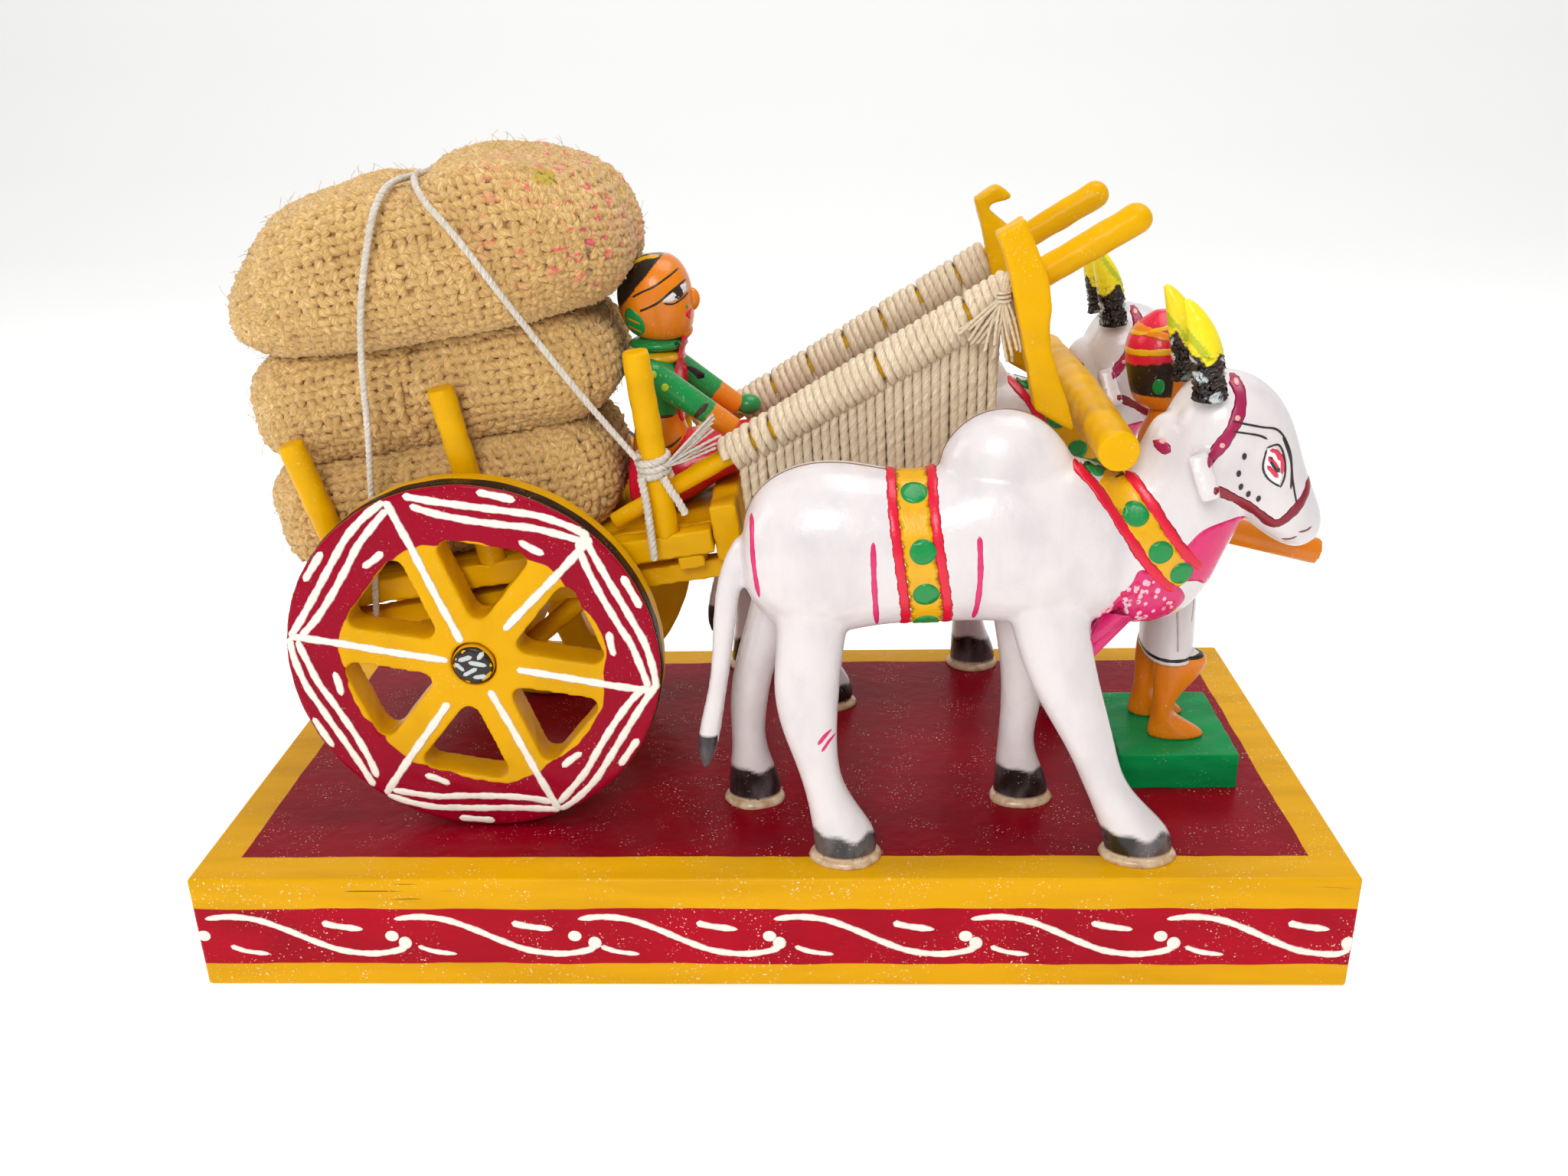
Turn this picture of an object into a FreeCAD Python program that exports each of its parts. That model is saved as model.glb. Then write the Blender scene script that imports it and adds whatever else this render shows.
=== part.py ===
"""Painted wooden bullock cart with a load of jute sacks, on a plinth.

Millimetres. +X is the way the oxen face, +Y goes from the near side to the far side, +Z is up,
and the origin is the middle of the plinth's underside. Each piece is written to parts/ as its
own STEP file, named by its Label.
"""
import FreeCAD, Part
import math
import os
import Sketcher
from collections import namedtuple
from FreeCAD import Placement, Rotation, Vector

X_AXIS = Vector(1, 0, 0)
Y_AXIS = Vector(0, 1, 0)
Z_AXIS = Vector(0, 0, 1)
NEAR = -1
FAR = 1
SIDES = (("near", NEAR), ("far", FAR))

# Driving dimensions, in mm and degrees.
DIMENSIONS = {
    "plinth_length": 254.0,
    "plinth_depth": 118.0,
    "plinth_height": 28.0,
    "plinth_edge": 0.8,
    "wheel_radius": 41.4,
    "wheel_thickness": 8.7,
    "wheel_face": 38.0,
    "wheel_lift": 0.4,
    "wheel_bevel": 0.5,
    "axle_back": 64.0,
    "axle_radius": 5.0,
    "axle_end": 39.0,
    "axle_play": 0.06,
    "bolster_foot": 12.0,
    "bolster_top": 20.0,
    "bolster_drop": 9.0,
    "bolster_rise": 8.0,
    "strut_back": 57.5,
    "strut_height": 37.0,
    "strut_lean": 50.0,
    "window_count": 6.0,
    "window_turn": 20.0,
    "window_apex": 10.8,
    "window_reach": 29.0,
    "window_half_width": 9.8,
    "window_corner": 2.4,
    "bed_pitch": 8.5,
    "bed_height": 61.6,
    "bed_back": 107.0,
    "beam_front": 52.0,
    "beam_width": 4.5,
    "beam_height": 4.5,
    "beam_centre": 19.8,
    "crossbar_width": 6.0,
    "crossbar_height": 3.0,
    "plank_height": 5.5,
    "plank_front": 10.5,
    "plank_inside": 20.8,
    "plank_outside": 26.5,
    "front_board_width": 6.0,
    "front_board_rise": 13.0,
    "stake_radius": 2.9,
    "stake_socket": 3.0,
    "stake_centre": 23.3,
    "stake_spread": 4.5,
    "shaft_back": 34.0,
    "shaft_back_height": 67.9,
    "shaft_back_centre": 19.0,
    "shaft_back_radius": 1.9,
    "shaft_tip": 79.5,
    "shaft_tip_height": 134.0,
    "shaft_tip_centre": 22.5,
    "shaft_tip_radius": 3.2,
    "winding_start": 0.235,
    "winding_end": 0.735,
    "web_back": -1.0,
    "web_front": 49.0,
    "cord_thickness": 2.9,
    "string_thickness": 1.4,
    "knot_layers": 1.6,
    "knot_turns": 3.6,
    "knot_rise": 17.5,
    "yoke_forward": 71.4,
    "yoke_height": 91.2,
    "yoke_half_length": 48.0,
    "yoke_middle_radius": 5.0,
    "yoke_end_radius": 4.1,
    "post_thickness": 6.0,
    "sack_corner": 11.0,
    "ox_centre": 37.0,
    "ox_half_width": 14.0,
    "far_ox_back": 4.0,
    "block_length": 28.0,
    "block_depth": 33.0,
    "block_height": 9.0,
}

doc = FreeCAD.newDocument("bullock_cart")
sheet = doc.addObject("Spreadsheet::Sheet", "Sizes")
for row, (alias, value) in enumerate(DIMENSIONS.items(), start=1):
    sheet.set(f"A{row}", alias)
    sheet.set(f"B{row}", str(value))
    sheet.setAlias(f"B{row}", alias)
doc.recompute()

pieces = []


def size(alias):
    """Value of one driving dimension."""
    return float(getattr(sheet, alias))


DECK = size("plinth_height")


def keep(piece, label):
    """Give a finished sub-part its Label and put it on the list of pieces."""
    piece.Label = label
    pieces.append(piece)
    return piece


def bind(piece, **sizes):
    """Bind properties of a piece to expressions on the sheet."""
    for name, expression in sizes.items():
        piece.setExpression(name, expression)


def box(name, length, width, height, place):
    """A Part::Box whose three sizes are expressions."""
    piece = doc.addObject("Part::Box", name)
    bind(piece, Length=length, Width=width, Height=height)
    piece.Placement = place
    return piece


def rod(name, radius, height, place):
    """A Part::Cylinder whose sizes are expressions."""
    piece = doc.addObject("Part::Cylinder", name)
    bind(piece, Radius=radius, Height=height)
    piece.Placement = place
    return piece


def cut(name, base, tools):
    """Base with each tool taken out of it in turn."""
    for number, tool in enumerate(tools):
        step = doc.addObject("Part::Cut", f"{name}_cut{number}")
        step.Base = base
        step.Tool = tool
        base = step
    return base


def group(name, members):
    """Several separate solids kept as one piece."""
    compound = doc.addObject("Part::Compound", name)
    compound.Links = members
    return keep(compound, name)


def shaped(name, shape):
    """A Part::Feature for a carved or soft shape that has no primitive."""
    piece = doc.addObject("Part::Feature", name)
    piece.Shape = shape
    return piece


def origin_feature(body, role):
    """One of a body's own origin planes or axes."""
    return next(item for item in body.Origin.OriginFeatures if item.Role == role)


def sketch_on(body, name, role, geometry):
    """A sketch of fixed curves on one of the body's origin planes."""
    sketch = body.newObject("Sketcher::SketchObject", name)
    sketch.AttachmentSupport = [(origin_feature(body, role), "")]
    sketch.MapMode = "FlatFace"
    for curve in geometry:
        index = sketch.addGeometry(curve, False)
        sketch.addConstraint(Sketcher.Constraint("Block", index))
    return sketch


def rounded_outline(corners, radius):
    """Closed outline of lines joined by tangent arcs, in a sketch's own plane."""
    count = len(corners)
    arcs = []
    for number, corner in enumerate(corners):
        into = (corners[number - 1] - corner).normalize()
        out = (corners[(number + 1) % count] - corner).normalize()
        half = into.getAngle(out) / 2
        middle = (into + out).normalize()
        centre = corner + middle * (radius / math.sin(half))
        setback = radius / math.tan(half)
        arcs.append(Part.Arc(corner + into * setback, centre - middle * radius, corner + out * setback))
    curves = []
    for number, arc in enumerate(arcs):
        following = arcs[(number + 1) % count]
        curves.append(arc)
        curves.append(Part.LineSegment(arc.EndPoint, following.StartPoint))
    return curves


def polar(distance, degrees):
    """A point of a sketch's plane from its distance and angle."""
    angle = math.radians(degrees)
    return Vector(distance * math.cos(angle), distance * math.sin(angle), 0)


# --- Plinth ---------------------------------------------------------------------------------

def make_plinth():
    """A solid block with its arrises broken."""
    body = doc.addObject("PartDesign::Body", "plinth")
    half_length = size("plinth_length") / 2
    half_depth = size("plinth_depth") / 2
    corners = [
        Vector(-half_length, -half_depth, 0),
        Vector(half_length, -half_depth, 0),
        Vector(half_length, half_depth, 0),
        Vector(-half_length, half_depth, 0),
    ]
    sides = [Part.LineSegment(corners[n], corners[(n + 1) % 4]) for n in range(4)]
    pad = body.newObject("PartDesign::Pad", "plinth_pad")
    pad.Profile = sketch_on(body, "plinth_plan", "XY_Plane", sides)
    bind(pad, Length="Sizes.plinth_height")
    doc.recompute()
    edges = [f"Edge{number}" for number in range(1, len(pad.Shape.Edges) + 1)]
    arris = body.newObject("PartDesign::Fillet", "plinth_arris")
    arris.Base = (pad, edges)
    bind(arris, Radius="Sizes.plinth_edge")
    return keep(body, "plinth")


# --- Wheels, axle and bolster ---------------------------------------------------------------

WHEEL_HEIGHT = DECK + size("wheel_lift") + size("wheel_radius")


def make_wheel(name, side):
    """A disc with a bore and a ring of rounded three-cornered windows that leave six spokes."""
    body = doc.addObject("PartDesign::Body", name)
    hub = Vector(0, 0, 0)
    rim = Part.Circle(hub, Z_AXIS, size("wheel_radius"))
    bore = Part.Circle(hub, Z_AXIS, size("axle_radius") + size("axle_play"))
    pad = body.newObject("PartDesign::Pad", f"{name}_disc")
    pad.Profile = sketch_on(body, f"{name}_round", "XZ_Plane", [rim, bore])
    pad.Midplane = True
    bind(pad, Length="Sizes.wheel_thickness")
    turn = size("window_turn")
    spread = math.degrees(math.asin(size("window_half_width") / size("window_reach")))
    corners = [
        polar(size("window_apex") - size("window_corner"), turn),
        polar(size("window_reach") + size("window_corner") / 2, turn - spread * 1.12),
        polar(size("window_reach") + size("window_corner") / 2, turn + spread * 1.12),
    ]
    window = body.newObject("PartDesign::Pocket", f"{name}_window")
    window.Profile = sketch_on(
        body, f"{name}_window_outline", "XZ_Plane", rounded_outline(corners, size("window_corner")))
    window.Midplane = True
    bind(window, Length="Sizes.wheel_thickness * 2")
    doc.recompute()
    ring = body.newObject("PartDesign::PolarPattern", f"{name}_windows")
    ring.Originals = [window]
    ring.Axis = (origin_feature(body, "Y_Axis"), [""])
    ring.Angle = 360
    bind(ring, Occurrences="Sizes.window_count")
    body.Tip = ring
    doc.recompute()
    edges = [
        f"Edge{number}"
        for number, edge in enumerate(ring.Shape.Edges, start=1)
        if hasattr(edge.Curve, "Radius") and abs(edge.Curve.Radius - size("wheel_radius")) < 0.01
    ]
    bevel = body.newObject("PartDesign::Chamfer", f"{name}_bevel")
    bevel.Base = (ring, edges)
    bind(bevel, Size="Sizes.wheel_bevel")
    body.Tip = bevel
    middle = size("wheel_face") - size("wheel_thickness") / 2
    body.Placement = Placement(Vector(-size("axle_back"), side * middle, WHEEL_HEIGHT), Rotation())
    return keep(body, name)


def axle_bar(name, radius):
    """A cylinder along the axle, used for the axle and for the hole it sits in."""
    start = Vector(-size("axle_back"), -size("axle_end"), WHEEL_HEIGHT)
    return rod(name, radius, "Sizes.axle_end * 2", Placement(start, Rotation(X_AXIS, -90)))


def make_axle():
    """The axle, with its two ends rounded over."""
    bar = axle_bar("axle_bar", "Sizes.axle_radius")
    doc.recompute()
    rounded = doc.addObject("Part::Fillet", "axle")
    rounded.Base = bar
    round_over = size("axle_radius") / 5
    ends = [number for number, edge in enumerate(bar.Shape.Edges, start=1) if edge.isClosed()]
    rounded.Edges = [(number, round_over, round_over) for number in ends if is_circle(bar.Shape.Edges[number - 1])]
    return keep(rounded, "axle")


def is_circle(edge):
    """Whether an edge is a full circle."""
    return edge.Curve.TypeId == "Part::GeomCircle"


# --- Bed ------------------------------------------------------------------------------------

# The bed's own frame: x along the bed, z square to it, with z = 0 on top of the two long beams.
BED = Placement(
    Vector(0, 0, DECK + size("bed_height")),
    Rotation(Y_AXIS, -size("bed_pitch")))


def on_bed(x, y, z, turn=None):
    """A placement given in the bed's own frame."""
    return BED.multiply(Placement(Vector(x, y, z), turn or Rotation()))


def make_beam(name, side):
    """One of the two long beams that run from the tail of the bed to the yoke."""
    inside = size("beam_centre") - size("beam_width") / 2
    y = inside if side == FAR else -inside - size("beam_width")
    return keep(
        box(name, "Sizes.bed_back + Sizes.beam_front", "Sizes.beam_width", "Sizes.beam_height",
            on_bed(-size("bed_back"), y, -size("beam_height"))),
        name)


def make_bolster(beams):
    """The tapering block that carries the beams on the axle."""
    body = doc.addObject("PartDesign::Body", "bolster_block")
    foot = size("bolster_foot") / 2
    top = size("bolster_top") / 2
    drop = -size("bolster_drop")
    rise = size("bolster_rise")
    corners = [Vector(-foot, drop, 0), Vector(foot, drop, 0), Vector(top, rise, 0), Vector(-top, rise, 0)]
    sides = [Part.LineSegment(corners[n], corners[(n + 1) % 4]) for n in range(4)]
    pad = body.newObject("PartDesign::Pad", "bolster_pad")
    pad.Profile = sketch_on(body, "bolster_side", "XZ_Plane", sides)
    pad.Midplane = True
    bind(pad, Length="Sizes.plank_outside * 2")
    body.Placement = Placement(Vector(-size("axle_back"), 0, WHEEL_HEIGHT), Rotation())
    hole = axle_bar("axle_hole", "Sizes.axle_radius")
    bolster = cut("axle_bolster", body, [hole] + beams)
    return keep(bolster, "axle_bolster")


def make_strut(name, side, blockers):
    """A short slanting rod from the bolster up to the beam."""
    foot = Vector(-size("strut_back"), side * size("beam_centre"), DECK + size("strut_height"))
    lean = Rotation(Y_AXIS, size("strut_lean"))
    slope = rod(f"{name}_rod", "Sizes.axle_radius / 2.2", "Sizes.axle_radius * 5", Placement(foot, lean))
    return keep(cut(name, slope, blockers), name)


def make_crossbars():
    """Four bars across the beams, under the planks."""
    bars = []
    for number, x in enumerate((-101, -74, -44, -19)):
        bars.append(box(
            f"crossbar{number}", "Sizes.crossbar_width", "Sizes.plank_outside * 2", "Sizes.crossbar_height",
            on_bed(x, -size("plank_outside"), 0)))
    return group("cross_bars", bars)


def make_stake(name, side, foot, height, lean_back):
    """A round stake that stands in a socket in the side plank and leans out over the wheel."""
    top = size("crossbar_height") + size("plank_height")
    socket = BED.multVec(Vector(foot, side * size("stake_centre"), top - size("stake_socket")))
    lean = Rotation(X_AXIS, -side * size("stake_spread")).multiply(Rotation(Y_AXIS, -lean_back))
    piece = doc.addObject("Part::Cylinder", name)
    bind(piece, Radius="Sizes.stake_radius")
    piece.Height = height
    piece.Placement = Placement(socket, lean)
    return piece


def make_stakes(side_name, side):
    """Three stakes on one side, the front one tallest."""
    stakes = [
        make_stake(f"stake_{side_name}_front", side, -20.8, 44.5, 5.5),
        make_stake(f"stake_{side_name}_middle", side, -60.5, 43.5, 9.0),
        make_stake(f"stake_{side_name}_rear", side, -93.0, 37.0, 14.0),
    ]
    group(f"stakes_{side_name}", stakes)
    return stakes


def make_side_plank(side_name, side, stakes):
    """The outer plank of the floor, with three sockets for the stakes."""
    y = size("plank_inside") if side == FAR else -size("plank_outside")
    plank = box(
        f"plank_bar_{side_name}", "Sizes.bed_back - Sizes.plank_front",
        "Sizes.plank_outside - Sizes.plank_inside", "Sizes.plank_height",
        on_bed(-size("bed_back"), y, size("crossbar_height")))
    name = f"side_plank_{side_name}"
    return keep(cut(name, plank, stakes), name)


def make_floor():
    """Three planks side by side between the side planks."""
    gap = 0.4
    width = (2 * size("plank_inside") - 4 * gap) / 3
    planks = []
    for number in range(3):
        y = -size("plank_inside") + gap + number * (width + gap)
        planks.append(box(
            f"floor_plank{number}", "Sizes.bed_back - Sizes.plank_front",
            "(Sizes.plank_inside * 2 - 1.6) / 3", "Sizes.plank_height",
            on_bed(-size("bed_back"), y, size("crossbar_height"))))
    return group("floor_planks", planks)


def make_front_board():
    """The board across the front of the floor, in front of the driver."""
    gap = 0.2
    return keep(
        box("front_board", "Sizes.front_board_width", "Sizes.plank_inside * 2 + 8", "Sizes.front_board_rise",
            on_bed(-size("plank_front") + gap, -size("plank_inside") - 4, 0)),
        "front_board")


# --- Shafts, yoke and posts -----------------------------------------------------------------

def shaft_ends(side):
    """The two ends of a shaft's axis, from the floor up past the yoke."""
    back = Vector(-size("shaft_back"), side * size("shaft_back_centre"), DECK + size("shaft_back_height"))
    tip = Vector(size("shaft_tip"), side * size("shaft_tip_centre"), DECK + size("shaft_tip_height"))
    return back, tip


def along_shaft(side, part):
    """Placement at a part of the shaft's length, with z along the shaft."""
    back, tip = shaft_ends(side)
    return Placement(back + (tip - back) * part, Rotation(Z_AXIS, tip - back))


def make_shaft(name, side):
    """A rod that thickens towards its rounded tip."""
    back, tip = shaft_ends(side)
    length = (tip - back).Length
    nose = size("shaft_tip_radius")
    taper = Part.makeCone(size("shaft_back_radius"), nose, length - nose)
    ball = Part.makeSphere(nose, Vector(0, 0, length - nose))
    shape = taper.fuse(ball).removeSplitter()
    piece = shaped(name, shape)
    piece.Placement = along_shaft(side, 0)
    return keep(piece, name)


def make_winding(name, side, shaft):
    """The sleeve that the wound cord makes on the shaft, with the hanging web under it."""
    back, tip = shaft_ends(side)
    length = (tip - back).Length
    start, end = size("winding_start"), size("winding_end")
    outer = size("shaft_back_radius") + size("cord_thickness") + 0.6
    sleeve = Part.makeCylinder(outer, length * (end - start))
    sleeve.Placement = along_shaft(side, start)
    upper = [along_shaft(side, part).Base for part in (start + 0.01, end - 0.01)]
    feet = (size("web_back"), size("web_front"))
    lower = [BED.multVec(Vector(x, side * size("beam_centre"), 0.05)) for x in feet]
    half = size("cord_thickness") / 2
    outline = [upper[0], upper[1], lower[1], lower[0]]
    faces = []
    for offset in (-half, half):
        ring = [Vector(point.x, side * size("beam_centre") + offset, point.z) for point in outline]
        faces.append(Part.makePolygon(ring + ring[:1]))
    web = Part.makeLoft(faces, True, True)
    whole = sleeve.fuse(web).cut(shaft.Shape)
    solid = max(whole.Solids, key=lambda item: item.Volume)
    return keep(shaped(name, solid), name)


def make_yoke():
    """A round bar, thickest in the middle, laid across both necks."""
    halves = []
    for side_name, side in SIDES:
        half = doc.addObject("Part::Cone", f"yoke_half_{side_name}")
        bind(half, Radius1="Sizes.yoke_middle_radius", Radius2="Sizes.yoke_end_radius",
             Height="Sizes.yoke_half_length")
        centre = Vector(size("yoke_forward"), 0, DECK + size("yoke_height"))
        half.Placement = Placement(centre, Rotation(X_AXIS, -90 * side))
        halves.append(half)
    whole = doc.addObject("Part::Fuse", "yoke")
    whole.Base = halves[0]
    whole.Tool = halves[1]
    return keep(whole, "yoke")


def make_post(name, y, yoke, shaft, curl):
    """A cut-out board that stands on the yoke and holds the shaft, flat in the XZ plane."""
    back = [(65.5, 90.5), (57.0, 95.5), (54.2, 108.5), (52.6, 115.5), (50.6, 124.0), (47.9, 131.0)]
    front = [(53.3, 134.0), (57.0, 126.0), (59.4, 117.5), (59.3, 111.5), (61.2, 103.5), (63.8, 96.5)]
    if curl:
        front[0] = (51.6, 131.5)
        back[-1] = (48.0, 133.0)
        front.insert(0, (55.8, 132.8))
        front.insert(0, (53.0, 136.0))
    half = size("post_thickness") / 2
    base = y - half
    rear_edge = Part.BSplineCurve()
    rear_edge.interpolate([Vector(x, base, DECK + z) for x, z in back[1:]])
    front_edge = Part.BSplineCurve()
    front_edge.interpolate([Vector(x, base, DECK + z) for x, z in front])
    heel = Vector(back[0][0], base, DECK + back[0][1])
    edges = [
        Part.LineSegment(heel, rear_edge.StartPoint).toShape(),
        rear_edge.toShape(),
        Part.LineSegment(rear_edge.EndPoint, front_edge.StartPoint).toShape(),
        front_edge.toShape(),
        Part.LineSegment(front_edge.EndPoint, heel).toShape(),
    ]
    face = Part.Face(Part.Wire(edges))
    board = shaped(f"{name}_board", face.extrude(Vector(0, size("post_thickness"), 0)))
    return keep(cut(name, board, [yoke, shaft]), name)


# --- Carved and padded solids ---------------------------------------------------------------

Station = namedtuple("Station", "x y z turn rise width")


def section(station, square):
    """A closed curve round one station: rise across the path in the XZ plane, width along Y."""
    angle = math.radians(station.turn)
    up = Vector(-math.sin(angle), 0, math.cos(angle))
    centre = Vector(station.x, station.y, station.z)
    points = []
    for step in range(16):
        turn = 2 * math.pi * step / 16
        across, along = math.cos(turn), math.sin(turn)
        across = math.copysign(abs(across) ** (2 / square), across)
        along = math.copysign(abs(along) ** (2 / square), along)
        points.append(centre + Y_AXIS * (station.width * across) + up * (station.rise * along))
    curve = Part.BSplineCurve()
    curve.interpolate(points, PeriodicFlag=True)
    return Part.Wire([curve.toShape()])


def carved(stations, square=2.0):
    """A solid lofted through its stations; turn is the path's angle above +X, in degrees."""
    return Part.makeLoft([section(station, square) for station in stations], True, False)


def moved(stations, offset):
    """The same stations, shifted."""
    return [s._replace(x=s.x + offset.x, y=s.y + offset.y, z=s.z + offset.z) for s in stations]


# --- Oxen -----------------------------------------------------------------------------------

def upright(x, y, z, rise, width):
    """A station on a leg, whose path runs down."""
    return Station(x, y, z, -90, rise, width)


def make_ox(side_name, place, yoke):
    """One ox from the same set of carved pieces; place is the point of the deck under its middle."""
    wide = size("ox_half_width")
    trunk_stations = [
        Station(-3.6, 0, 67.0, 0, 5.0, wide * 0.45),
        Station(0.5, 0, 67.5, 0, 14.0, wide * 0.80),
        Station(8, 0, 67.6, 0, 18.2, wide * 0.97),
        Station(20, 0, 68.2, 0, 18.0, wide),
        Station(34, 0, 68.2, 0, 16.6, wide * 0.95),
        Station(46, 0, 70.2, 0, 18.4, wide * 0.97),
        Station(58, 0, 69.6, 0, 18.6, wide * 0.96),
        Station(70, 0, 68.5, 0, 17.0, wide * 0.84),
        Station(77, 0, 67.0, 0, 10.0, wide * 0.55),
    ]
    hump_stations = [
        Station(38.5, 0, 82.0, 20, 3.0, 3.0),
        Station(43, 0, 84.0, 15, 9.5, 7.0),
        Station(49, 0, 85.0, 0, 12.4, 8.5),
        Station(56, 0, 83.5, -15, 11.0, 8.0),
        Station(62, 0, 81.0, -20, 6.5, 6.0),
    ]
    neck_stations = [
        Station(73.0, 0, 66.5, 15, 16.0, wide * 0.70),
        Station(80.0, 0, 69.5, 38, 17.8, wide * 0.72),
        Station(86.5, 0, 77.0, 45, 14.5, wide * 0.66),
        Station(89.5, 0, 84.0, 50, 13.5, wide * 0.62),
        Station(92.0, 0, 90.0, 55, 11.0, wide * 0.52),
    ]
    head_stations = [
        Station(84.6, 0, 97.6, -28, 5.0, wide * 0.36),
        Station(89.0, 0, 95.2, -32, 11.2, wide * 0.66),
        Station(94.5, 0, 90.5, -38, 13.4, wide * 0.76),
        Station(100.5, 0, 85.0, -46, 10.8, wide * 0.66),
        Station(106.8, 0, 77.2, -57, 7.2, wide * 0.50),
        Station(111.0, 0, 71.8, -60, 5.2, wide * 0.42),
        Station(112.8, 0, 69.0, -60, 2.6, wide * 0.24),
    ]
    trunk = carved(moved(trunk_stations, place))
    for stations in (hump_stations, neck_stations):
        trunk = trunk.fuse(carved(moved(stations, place)))
    trunk = trunk.removeSplitter().cut(yoke.Shape)
    trunk = max(trunk.Solids, key=lambda solid: solid.Volume)
    name = f"ox_{side_name}_body"
    keep(shaped(name, trunk), name)
    head = carved(moved(head_stations, place), 2.2).cut(trunk)
    head = max(head.Solids, key=lambda solid: solid.Volume)
    name = f"ox_{side_name}_head"
    keep(shaped(name, head), name)
    legs = {
        "hind_outer": [
            upright(10.0, -5.0, 60.0, 9.5, 5.6),
            upright(10.0, -7.0, 47.0, 7.2, 5.6),
            upright(9.4, -9.0, 35.0, 6.6, 5.0),
            upright(11.0, -10.5, 24.0, 4.9, 4.4),
            upright(13.6, -11.5, 15.0, 4.8, 4.2),
            upright(16.4, -12.2, 8.0, 6.4, 4.9),
            upright(17.0, -12.4, 0.0, 6.2, 5.2),
        ],
        "hind_inner": [
            upright(5.5, 5.0, 60.0, 7.5, 5.2),
            upright(1.0, 7.0, 47.0, 5.6, 4.9),
            upright(-3.0, 9.0, 35.0, 4.6, 4.3),
            upright(-4.6, 10.5, 24.0, 4.2, 4.0),
            upright(-4.6, 11.5, 13.0, 4.4, 4.2),
            upright(-4.0, 12.4, 6.0, 5.8, 4.8),
            upright(-4.0, 12.4, 0.0, 6.0, 5.0),
        ],
        "fore_outer": [
            upright(60.0, -5.0, 60.0, 9.5, 5.6),
            upright(62.2, -7.0, 46.0, 7.8, 5.4),
            upright(65.6, -9.0, 36.0, 6.8, 5.0),
            upright(70.2, -10.5, 25.0, 5.2, 4.4),
            upright(73.6, -11.5, 17.0, 4.9, 4.2),
            upright(79.0, -12.0, 8.5, 6.8, 4.9),
            upright(81.3, -12.1, 0.0, 6.9, 5.2),
        ],
        "fore_inner": [
            upright(56.0, 5.0, 60.0, 7.5, 5.2),
            upright(56.8, 7.0, 47.0, 6.2, 4.9),
            upright(57.6, 9.0, 35.0, 5.0, 4.3),
            upright(57.6, 10.5, 24.0, 4.4, 4.0),
            upright(57.4, 11.5, 13.0, 4.5, 4.2),
            upright(58.6, 12.3, 6.0, 5.9, 4.8),
            upright(58.8, 12.3, 0.0, 6.2, 5.0),
        ],
    }
    for leg, stations in legs.items():
        shape = carved(moved(stations, place)).cut(trunk)
        name = f"ox_{side_name}_leg_{leg}"
        keep(shaped(name, max(shape.Solids, key=lambda solid: solid.Volume)), name)
    tail_stations = [
        upright(-3.0, -2.0, 71.0, 2.2, 2.2),
        upright(-6.6, -2.6, 62.0, 2.6, 2.4),
        upright(-8.4, -3.0, 50.0, 2.4, 2.2),
        upright(-10.0, -3.2, 38.0, 2.1, 2.0),
        upright(-12.0, -3.4, 28.0, 2.4, 2.2),
        upright(-13.2, -3.6, 21.0, 1.9, 1.8),
        upright(-13.6, -3.8, 17.4, 0.6, 0.6),
    ]
    hind_leg = [piece.Shape for piece in pieces if piece.Label.startswith(f"ox_{side_name}_leg_hind")]
    tail = carved(moved(tail_stations, place)).cut(trunk)
    for leg_shape in hind_leg:
        tail = tail.cut(leg_shape)
    name = f"ox_{side_name}_tail"
    keep(shaped(name, max(tail.Solids, key=lambda solid: solid.Volume)), name)
    horns = []
    for across in (-8.8, 7.2):
        horn_stations = [
            upright(88.4, across, 98.0, 2.9, 2.9)._replace(turn=95),
            upright(87.6, across, 105.0, 2.9, 2.8)._replace(turn=98),
            upright(86.4, across, 111.0, 2.9, 2.8)._replace(turn=104),
            upright(84.6, across, 116.0, 2.2, 2.1)._replace(turn=114),
            upright(82.0, across, 120.4, 0.6, 0.6)._replace(turn=122),
        ]
        horn = carved(moved(horn_stations, place)).cut(head).cut(trunk)
        horns.append(max(horn.Solids, key=lambda solid: solid.Volume))
    name = f"ox_{side_name}_horns"
    keep(shaped(name, Part.makeCompound(horns)), name)
    ears = []
    for side in (NEAR, FAR):
        ear = Part.makeBox(4.0, 2.4, 9.5, Vector(-2.0, -1.2, -9.5))
        lean = Rotation(Y_AXIS, -18).multiply(Rotation(X_AXIS, side * 22))
        ear.Placement = Placement(place + Vector(86.5, side * 10.4, 90.5), lean)
        ears.append(max(ear.cut(head).Solids, key=lambda solid: solid.Volume))
    name = f"ox_{side_name}_ears"
    keep(shaped(name, Part.makeCompound(ears)), name)


# --- Sacks and the string round them --------------------------------------------------------

SackPlan = namedtuple("SackPlan", "name length width thickness centre_x centre_z tilt")
SACKS = (
    SackPlan("sack_lower", 77.0, 41.0, 26.0, -73.6, 72.8, 8.5),
    SackPlan("sack_middle", 80.0, 44.0, 23.0, -73.6, 98.2, 8.5),
    SackPlan("sack_upper", 87.0, 62.0, 33.5, -71.5, 128.0, 9.8),
)


def make_sack(plan):
    """A pillow-shaped sack as a plain block with well rounded edges."""
    block = Part.makeBox(
        plan.length, plan.width, plan.thickness,
        Vector(-plan.length / 2, -plan.width / 2, -plan.thickness / 2))
    corner = min(size("sack_corner"), plan.thickness * 0.42)
    pillow = block.makeFillet(corner, block.Edges)
    piece = shaped(plan.name, pillow)
    piece.Placement = Placement(Vector(plan.centre_x, 0, DECK + plan.centre_z), Rotation(Y_AXIS, -plan.tilt))
    return keep(piece, plan.name)


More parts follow.
